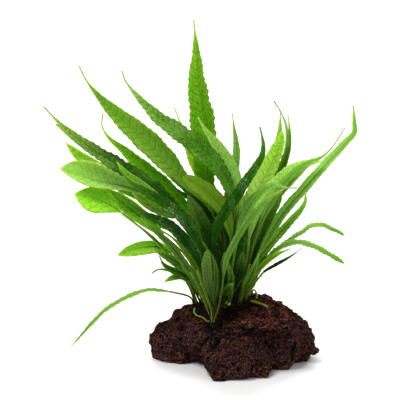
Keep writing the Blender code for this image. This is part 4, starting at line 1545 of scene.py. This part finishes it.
        ((207, 321), (202, 317), (196, 315), (194, 311), (195, 308)),
        wing=0.4, stalk_half=0.42 * MM, shade=0.8, tip_half=0.42 * MM),
    Frond("young_frond_front_curl", Leaf.YOUNG, Run.FRONT, 0.25, -22, 2.6, 0.5, Blade.BLUNT, 0,
        ((225, 307), (226, 304), (228, 303), (230, 305)), wing=0.55, shade=1.4),
)


# The stone


@dataclass(frozen=True)
class Crease:
    """A groove or a wide dip in the stone: its path in the reference view, and its form."""

    seen: tuple[Pixel, ...]
    half: float
    depth: float
    # How dark the groove is painted, as shade in it; 0 for a wide dip.
    dark: float = 1.0
    step: float = 0.8 * MM

    def line(self, surface: BVHTree) -> Route:
        """Return the groove as closely spaced points on the stone.

        Args:
            surface: The stone's surface.

        Returns:
            The points where the view meets the stone along the path.
        """
        eye = VIEW.axes()[0]
        hits = []
        for pixel in self.seen:
            hit = surface.ray_cast(eye, (VIEW.point(pixel, 0.0) - eye).normalized())[0]
            if hit is not None:
                hits.append(hit)
        return smooth_route(hits, self.step)[0]

    def share(self, point: Vector, line: Route) -> float:
        """Return how far into the groove a point is.

        Args:
            point: A point of the stone.
            line: The groove's points.

        Returns:
            1 in its middle and 0 outside.
        """
        away = min((point - p).length for p in line)
        return max(0.0, 1 - away / self.half)


CREASES = (
    Crease(((208, 324), (211.5, 330.5), (212.5, 334), (206, 340), (201.5, 345), (200.7, 352),
            (203, 358)), 1.3 * MM, 1.6 * MM),
    Crease(((229, 332), (218, 341), (212, 348)), 2.6 * MM, 1.0 * MM),
    Crease(((239, 328), (249, 330.5), (256, 329.5), (271, 330.5)), 1.6 * MM, 1.5 * MM),
    Crease(((296.5, 344), (293, 354), (294, 361)), 2.6 * MM, 1.6 * MM),
    Crease(((253, 366), (251.5, 373)), 1.2 * MM, 1.2 * MM),
    Crease(((254, 293.5), (264, 294.5), (274, 299.5), (284, 304), (296, 311)),
           11 * MM, 2.2 * MM, dark=0.0),
    Crease(((173, 311), (163, 321)), 8 * MM, 1.6 * MM, dark=0.0),
)


@dataclass
class LavaStone:
    """The stone: its solid's form, remeshed finely, roughened and pitted."""

    bend_seed: int = 3
    voxel: float = 0.56 * MM
    weld: float = 0.01 * MM
    soften: int = 2
    lump_size: float = 7 * MM
    lump_height: float = 1.2 * MM
    clinker_size: float = 2.3 * MM
    clinker_height: float = 1.1 * MM
    clinker_draw: float = 0.4
    grit_size: float = 1.1 * MM
    grit_height: float = 0.15 * MM
    bend_size: float = 3 * MM
    bend: float = 0.9 * MM
    pit_size: float = 3.6 * MM
    pit_depth: float = 1.5 * MM
    pit_reach: float = 0.40
    bare_size: float = 6 * MM
    bare_below: float = -0.15
    pore_size: float = 1.9 * MM
    pore_depth: float = 0.8 * MM
    pore_reach: float = 0.42
    floor_margin: float = 0.6 * MM
    floor_rise: tuple[float, float] = (0.2 * MM, 2 * MM)
    swell: float = -0.1 * MM
    upper: tuple[float, float] = (16 * MM, 14 * MM)
    lit_rust_top: tuple[float, float] = (20 * MM, 22 * MM)
    rusty_rim: float = 11 * MM
    dark_rim: tuple[float, float] = (-20 * MM, 10 * MM)
    damp_reach: float = 11 * MM
    damp_fill: float = 0.85
    creases: tuple[Crease, ...] = CREASES
    finish: LavaFinish = field(default_factory=lambda: LavaFinish("porous_lava"))

    def build(self, runs: Runs) -> bpy.types.Object:
        """Build the fine stone.

        Args:
            runs: The rhizome's middle lines, round which the stone is damp and dark.

        Returns:
            The stone, at the origin.
        """
        piece = add_object("lava_stone_fine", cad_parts["lava_stone"].data.copy())
        with edited(piece.data) as shape:
            bmesh.ops.remove_doubles(shape, verts=shape.verts, dist=self.weld)
        melt = piece.modifiers.new("melt", "REMESH")
        melt.mode = "VOXEL"
        melt.voxel_size = self.voxel
        apply_modifiers(piece)
        with edited(piece.data) as shape:
            for _ in range(self.soften):
                raised = [v for v in shape.verts if v.co.z > self.floor_margin]
                bmesh.ops.smooth_vert(shape, verts=raised, factor=0.5, use_axis_x=True,
                                      use_axis_y=True, use_axis_z=True)
        # Without a seed of its own the bend of the pits would come from the clock.
        noise.seed_set(self.bend_seed)
        self.roughen(piece.data, runs)
        piece.data.shade_smooth()
        piece.data.materials.clear()
        piece.data.materials.append(self.finish.material())
        return piece

    def roughen(self, mesh: bpy.types.Mesh, runs: Runs) -> None:
        """Push the surface in and out, and note how hollow, rusty and damp each point is, the rust high up
        partly painted top light.

        Args:
            mesh: The fine mesh.
            runs: The rhizome's middle lines.
        """
        surface = surface_of(mesh)
        folds = [(crease, crease.line(surface)) for crease in self.creases]
        middles = [middle for run in runs.values() for middle in run]
        moved = []
        forms = []
        for vertex in mesh.vertices:
            point = vertex.co.copy()
            normal = vertex.normal
            pit, pore = self.hollows(point)
            shares = [(crease, crease.share(point, line)) for crease, line in folds]
            # How far a crease is painted dark: painted shade.
            fold = max(share * crease.dark for crease, share in shares)
            sunk = max(share * crease.depth for crease, share in shares)
            damp = max(0.0, 1 - min((point - m).length for m in middles) / self.damp_reach)
            inward = self.pit_depth * pit + self.pore_depth * pore + sunk
            push = self.bulge(point, normal) - inward + self.swell
            if push < 0:
                push *= 1 - self.damp_fill * min(1.0, damp * 1.6)
            moved.append(point + normal * push * ramp(point.z, *self.floor_rise))
            # The first value darkens pits, pores and creases in the finish as painted shade.
            forms.append((min(1.0, pit + pore * 0.6 + fold), self.rust_and_top_light(point, normal),
                          min(1.0, damp * 1.4)))
        mesh.vertices.foreach_set("co", np.array(moved, np.float32).ravel())
        write_attribute(mesh, "stone_form", "FLOAT_VECTOR", np.array(forms))
        mesh.update()

    def hollows(self, point: Vector) -> tuple[float, float]:
        """Return how deep in a pit and in a pore a point is.

        Args:
            point: A point of the stone.

        Returns:
            Both, from 0 to 1.
        """
        bent = point + noise.noise_vector(point / self.bend_size) * self.bend
        pit_near = noise.voronoi(bent / self.pit_size)[0][0]
        pore_near = noise.voronoi(bent / self.pore_size + Vector((3, 9, 5)))[0][0]
        pit = max(0.0, 1 - pit_near / self.pit_reach) ** 0.7
        if noise.noise(point / self.bare_size) <= self.bare_below:
            pit = 0.0
        return pit, max(0.0, 1 - pore_near / self.pore_reach) ** 0.6

    def bulge(self, point: Vector, normal: Vector) -> float:
        """Return how far lumps, clinker ridges and grit push a point outward.

        Args:
            point: A point of the stone.
            normal: The direction outward.

        Returns:
            The distance, in metres.
        """
        drawn = Vector((point.x * self.clinker_draw, point.y, point.z * 0.9))
        clinker = abs(noise.noise(drawn / self.clinker_size + Vector((7, 1, 3)))) * 2
        high = ramp(point.z, *self.upper) * max(0.0, normal.z + 0.3)
        groove = self.clinker_height * (1 - min(clinker, 1)) * min(1, 0.4 + high)
        grit = noise.fractal(point / self.grit_size, 1.0, 2.0, 2)
        return self.lump_height * noise.noise(point / self.lump_size) - groove + self.grit_height * grit

    def rust_and_top_light(self, point: Vector, normal: Vector) -> float:
        """Return how rusty a point is: most so high up, where faces turned up and to the front get more as
        painted top light, and along the rim beside the middle.

        Args:
            point: A point of the stone.
            normal: The direction outward.

        Returns:
            From 0 to 1 or a little more.
        """
        top = ramp(point.z, *self.lit_rust_top)
        # Faces turned up and to the front, towards the key lamp, get more: painted top light.
        frontal = max(0.0, -normal.y * 0.5 + normal.z)
        central = self.dark_rim[0] < point.x < self.dark_rim[1]
        rim = max(0.0, 1 - point.z / self.rusty_rim) * (0.2 if central else 0.9)
        return max(rim, top * (0.4 + 0.6 * frontal))


# The rhizome's stems, scales, roots and stalks


def thread_object(name: str, lines: list[Route], girths: list[list[float]], tree: GeometryTree,
                  finish: BarkFinish) -> bpy.types.Object:
    """Return threads along lines of points.

    Args:
        name: The piece's name.
        lines: Each thread's points.
        girths: Each point's radius, in metres.
        tree: The tree that makes threads.
        finish: The threads' finish.

    Returns:
        The threads, at the origin.
    """
    piece = line_object(name, lines, girths)
    tree.run(piece, Sides=6, Finish=finish.material())
    return piece


def tapered(line: Route, half: float, loss: float) -> list[float]:
    """Return the radius at each point of a thread, which loses a share of it to its tip."""
    return [half * (1 - loss * i / (len(line) - 1)) for i in range(len(line))]


@dataclass
class RootMat:
    """The rhizome's scaly stems, the old stalks on them, and the roots that run over the stone."""

    runs: Runs
    bark: BarkFinish = field(default_factory=lambda: BarkFinish("rhizome_bark"))
    scale: BarkFinish = field(default_factory=lambda: BarkFinish(
        "rhizome_scale", light=srgb(58, 36, 20), dark=srgb(16, 9, 6)))
    root: BarkFinish = field(default_factory=lambda: BarkFinish(
        "root_thread", light=srgb(40, 28, 18), dark=srgb(10, 7, 5), roughness=0.6))
    felt: BarkFinish = field(default_factory=lambda: BarkFinish(
        "root_felt", light=srgb(38, 27, 17), dark=srgb(10, 7, 4), streak=0.9 * MM))
    stub: BarkFinish = field(default_factory=lambda: BarkFinish(
        "old_stalk", light=srgb(50, 58, 14), dark=srgb(14, 18, 5), roughness=0.6))
    sides: int = 14
    tube_step: float = 0.7 * MM
    end_length: float = 2.2 * MM
    felt_wide: float = 1.1
    felt_sunk: float = 1.0 * MM
    scale_density: float = 2.2e6
    scale_length: float = 1.5 * MM
    roots: int = 150
    root_seed: int = 11
    root_steps: tuple[int, int] = (6, 20)
    root_step: float = 1.3 * MM
    root_half: float = 0.2 * MM
    root_sunk: float = 0.8 * MM
    root_lowest: float = 2 * MM
    stubs: int = 190
    stub_seed: int = 23
    stub_steps: int = 6
    stub_longest: float = 17 * MM
    stub_half: float = 0.6 * MM
    crown_middle: float = -5 * MM
    crown_half: float = 11 * MM

    def middles(self) -> Route:
        """Return the points of all the rhizome's middle lines."""
        return [middle for run in self.runs.values() for middle in run]

    def build_tube(self, name: str, route: Route, halves: list[tuple[float, float]],
                   finish: BarkFinish) -> bpy.types.Object:
        """Build a knotty closed tube with rounded ends.

        Args:
            name: The piece's name.
            route: Its middle line, a tube step between points.
            halves: Its half width and half height at each point, in metres.
            finish: Its finish.

        Returns:
            The tube, at the origin.
        """
        tangent = np.gradient(np.array(route), axis=0)
        tangent /= np.linalg.norm(tangent, axis=1)[:, None]
        side = np.cross(tangent, (0, 0, 1))
        side /= np.linalg.norm(side, axis=1)[:, None]
        up = np.cross(side, tangent)
        points = []
        last = len(route) - 1
        for i, (middle, (wide, high)) in enumerate(zip(route, halves)):
            gone = min(1.0, min(i, last - i) * self.tube_step / self.end_length)
            ends = max(0.12, math.sqrt(1 - (1 - gone) ** 2))
            for k in range(self.sides):
                angle = math.tau * k / self.sides
                out = Vector(side[i] * math.cos(angle) * wide + up[i] * math.sin(angle) * high)
                spot = middle + out
                coarse = noise.noise(spot / (3.2 * MM))
                knot = 0.9 + 0.16 * coarse + 0.08 * noise.noise(spot / (1.2 * MM))
                points.append(middle + out * knot * ends)
        piece = mesh_object(name, points, skin(len(route), self.sides, turned=True))
        with edited(piece.data) as shape:
            bmesh.ops.recalc_face_normals(shape, faces=shape.faces)
        piece.data.materials.append(finish.material())
        return piece

    def build_stem(self, run: Run) -> bpy.types.Object:
        """Build one run's knotty stem.

        Args:
            run: The run.

        Returns:
            The stem, at the origin.
        """
        route, _ = smooth_route(self.runs[run], self.tube_step)
        halves = [(run.value.radius, run.value.radius)] * len(route)
        return self.build_tube(run.value.name + "_stem", route, halves, self.bark)

    def build_felt(self, run: Run, stone: BVHTree) -> bpy.types.Object:
        """Build the felt of roots that fills the gap between one run and the stone.

        Args:
            run: The run.
            stone: The fine stone's surface.

        Returns:
            The felt, at the origin.
        """
        radius = run.value.radius
        route, _ = smooth_route(self.runs[run], self.tube_step)
        halves = []
        for point in route:
            hit = stone.ray_cast(point, DOWN)[0]
            ground = point.z - radius * 1.5 if hit is None else hit.z
            high = (point.z - ground + self.felt_sunk) / 2
            point.z -= high
            halves.append((radius * self.felt_wide, high * 1.15))
        return self.build_tube(run.value.name + "_felt", route, halves, self.felt)

    def build_scales(self, stem: bpy.types.Object, tree: GeometryTree, seed: int) -> bpy.types.Object:
        """Build the scales of one stem.

        Args:
            stem: The stem that they cover.
            tree: The tree that scatters scales.
            seed: What their places come from.

        Returns:
            The scales, at the origin.
        """
        piece = add_object(stem.name.replace("_stem", "_scales"), stem.data.copy())
        tree.run(piece, Density=self.scale_density, Length=self.scale_length, Seed=seed,
                 Finish=self.scale.material())
        return piece

    def build_roots(self, stone: BVHTree, tree: GeometryTree) -> bpy.types.Object:
        """Build the roots that creep from the rhizome over the stone.

        Args:
            stone: The fine stone's surface.
            tree: The tree that makes threads.

        Returns:
            The roots, at the origin.
        """
        draw = random.Random(self.root_seed)
        lines = []
        girths = []
        middles = self.middles()
        for _ in range(self.roots):
            point = draw.choice(middles).copy()
            heading = draw.uniform(0, math.tau)
            line = [point + DOWN * self.root_sunk]
            for _ in range(draw.randint(*self.root_steps)):
                heading += draw.gauss(0, 0.35)
                onward = Vector((math.cos(heading), math.sin(heading), -0.25))
                spot, normal, _, _ = stone.find_nearest(point + onward * self.root_step)
                if spot is None or spot.z < self.root_lowest:
                    break
                point = spot + normal * self.root_half * 0.9
                line.append(point)
            if len(line) < 4:
                continue
            lines.append(line)
            girths.append(tapered(line, self.root_half * draw.uniform(0.5, 1.0), 0.6))
        return thread_object("roots", lines, girths, tree, self.root)

    def build_stubs(self, tree: GeometryTree) -> bpy.types.Object:
        """Build the dark stalks of old fronds, which crowd the rhizome.

        Args:
            tree: The tree that makes threads.

        Returns:
            The stalks, at the origin.
        """
        draw = random.Random(self.stub_seed)
        lines = []
        girths = []
        middles = self.middles()
        for _ in range(self.stubs):
            point = draw.choice(middles) + Vector((draw.gauss(0, 0.8), draw.gauss(0, 0.8), 0)) * MM
            aim = Vector((draw.gauss(0.0, 0.42) + point.x * 9, draw.gauss(-0.1, 0.4), 1.0)).normalized()
            curl = Vector((draw.gauss(0, 0.02), draw.gauss(0, 0.02), 0))
            outer = abs(point.x - self.crown_middle) > self.crown_half
            length = self.stub_longest * draw.uniform(0.3, 1.0) * (0.4 if outer else 1.0)
            line = [point]
            for _ in range(self.stub_steps):
                aim = (aim + curl).normalized()
                line.append(line[-1] + aim * length / self.stub_steps)
            lines.append(line)
            girths.append(tapered(line, self.stub_half * draw.uniform(0.55, 1.0), 0.55))
        return thread_object("old_stalks", lines, girths, tree, self.stub)


@dataclass(frozen=True)
class Threads:
    """Thin threads or stalks, each along a path that the reference view shows.

    Attributes:
        name: The piece's name.
        slot: The record's material slot.
        seen: Each thread's path in the reference view.
        depths: The place along Y of each thread's two ends, in millimetres.
        half: The threads' radius at their feet, in metres.
        finish: Their finish.
    """

    name: str
    slot: str
    seen: tuple[tuple[Pixel, ...], ...]
    depths: tuple[tuple[float, float], ...]
    half: float
    finish: BarkFinish

    def build(self, tree: GeometryTree) -> bpy.types.Object:
        """Build the threads.

        Args:
            tree: The tree that makes threads.

        Returns:
            The threads, at the origin.
        """
        lines = []
        for path, (near, far) in zip(self.seen, self.depths):
            depths = np.linspace(near, far, len(path))
            points = [VIEW.point(pixel, depth * MM) for pixel, depth in zip(path, depths)]
            lines.append(smooth_route(points, 1.0 * MM)[0])
        girths = [[self.half * (1 - 0.5 * i / len(line)) for i in range(len(line))] for line in lines]
        return thread_object(self.name, lines, girths, tree, self.finish)


THREADS = (
    Threads("filaments", "roots", (
        ((106, 249), (114, 246.5), (122, 247), (131, 247.5)),
        ((128, 238), (134, 243), (141, 245.5), (150, 246)),
        ((121, 218), (127, 223), (137, 226)),
        ((150, 264.5), (156, 265), (161, 264), (166, 262)),
        ((257, 274), (262, 277), (266, 276), (271, 276.5)),
        ((259, 272), (262, 277.5), (265, 279.5)),
    ), ((6, 7), (6, 7), (0, 2), (-18, -16), (-4, -4), (-4, -4)), 0.14 * MM, BarkFinish(
        "thread", light=srgb(112, 124, 70), dark=srgb(52, 62, 26))),
    Threads("thin_stalks", "frond_olive", (
        ((198, 303), (192, 293), (187, 284), (181, 275)),
        ((205, 305), (200, 296), (194, 286), (189, 275)),
        ((210, 308), (205, 299), (200, 291), (194, 281)),
        ((216, 303), (213, 291), (212.5, 280), (213, 268)),
        ((230, 305), (233, 294), (239, 284), (246, 274)),
        ((227, 303), (228, 293), (231, 284), (235, 276)),
        ((239, 305), (241, 295), (246, 285), (252, 275)),
        ((243, 301), (248, 291), (254, 283), (258, 278)),
    ), ((0, -14), (-3, -24), (-5, -28), (-12, -34), (-7, -24), (-7, -20), (-7, -20),
        (-6.5, -16)), 0.36 * MM, BarkFinish(
        "thin_stalk", light=srgb(116, 126, 40), dark=srgb(74, 70, 24), roughness=0.5)),
)


# The studio


@dataclass(frozen=True)
class Lamp:
    """A square soft light that faces a place."""

    name: str
    place: tuple[float, float, float]
    size: float
    power: float
    aim: tuple[float, float, float] = (0, 0, 0.1)
    shines: bool = True

    def build(self) -> None:
        """Put the light in the scene."""
        data = bpy.data.lights.new(self.name, "AREA")
        data.energy = self.power
        data.size = self.size
        lamp = add_object(self.name, data)
        aim = Vector(self.aim) - Vector(self.place)
        turn = aim.to_track_quat("-Z", "Y").to_matrix().to_4x4()
        lamp.matrix_world = Matrix.Translation(self.place) @ turn
        lamp.visible_glossy = self.shines


@dataclass
class Studio:
    """A plain pale floor, soft studio light and the camera."""

    floor_half: float = 14.0
    sky: float = 0.34
    lamps: tuple[Lamp, ...] = (
        Lamp("key", (-0.5, -0.6, 1.25), 0.6, 13.0),
        Lamp("fill", (0.9, -0.7, 0.7), 0.9, 3.6),
        Lamp("background_light", (0, 7.0, 4.5), 7.0, 900.0, (0, 6.5, 0), False),
    )

    def build(self) -> None:
        """Build the floor, the lights and the camera."""
        size = self.floor_half
        corners = [(-size, -size, 0), (size, -size, 0), (size, size, 0), (-size, size, 0)]
        floor = mesh_object("studio_floor", corners, [(0, 1, 2, 3)])
        floor.data.materials.append(FloorFinish("studio_floor").material())
        for lamp in self.lamps:
            lamp.build()
        world = bpy.data.worlds.new("studio")
        world.use_nodes = True
        light = world.node_tree.nodes["Background"]
        light.inputs["Color"].default_value = (1, 1, 1, 1)
        light.inputs["Strength"].default_value = self.sky
        scene = bpy.context.scene
        scene.world = world
        world.cycles_visibility.glossy = False
        scene.view_settings.view_transform = "Standard"
        scene.view_settings.look = "Medium High Contrast"
        scene.camera = VIEW.camera()


def main() -> None:
    """Build the stone, the rhizome with its roots, the fronds and the studio."""
    surface = surface_of(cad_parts["lava_stone"].data)
    runs = {run: run.value.route(surface) for run in Run}

    stone = LavaStone().build(runs)
    settle(stone, "lava_stone", "lava_stone")
    fine = surface_of(stone.data)

    mat = RootMat(runs)
    threads = thread_tree()
    scales = scale_tree()
    for seed, run in enumerate(Run, start=1):
        stem = mat.build_stem(run)
        settle(mat.build_scales(stem, scales, seed), "rhizome")
        settle(stem, "rhizome", run.value.name)
        settle(mat.build_felt(run, fine), "roots")
    settle(mat.build_roots(fine, threads), "roots")
    settle(mat.build_stubs(threads), "rhizome")
    for thread in THREADS:
        settle(thread.build(threads), thread.slot)

    relief = blade_relief()
    for seed, frond in enumerate(FRONDS):
        piece = frond.build(runs, relief, seed)
        if frond.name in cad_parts:
            settle(piece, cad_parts[frond.name].active_material.name, frond.name)
        else:
            settle(piece, frond.leaf.slot)
        piece.name = frond.name + "_leaf"

    Studio().build()


if __name__ == "__main__":
    main()
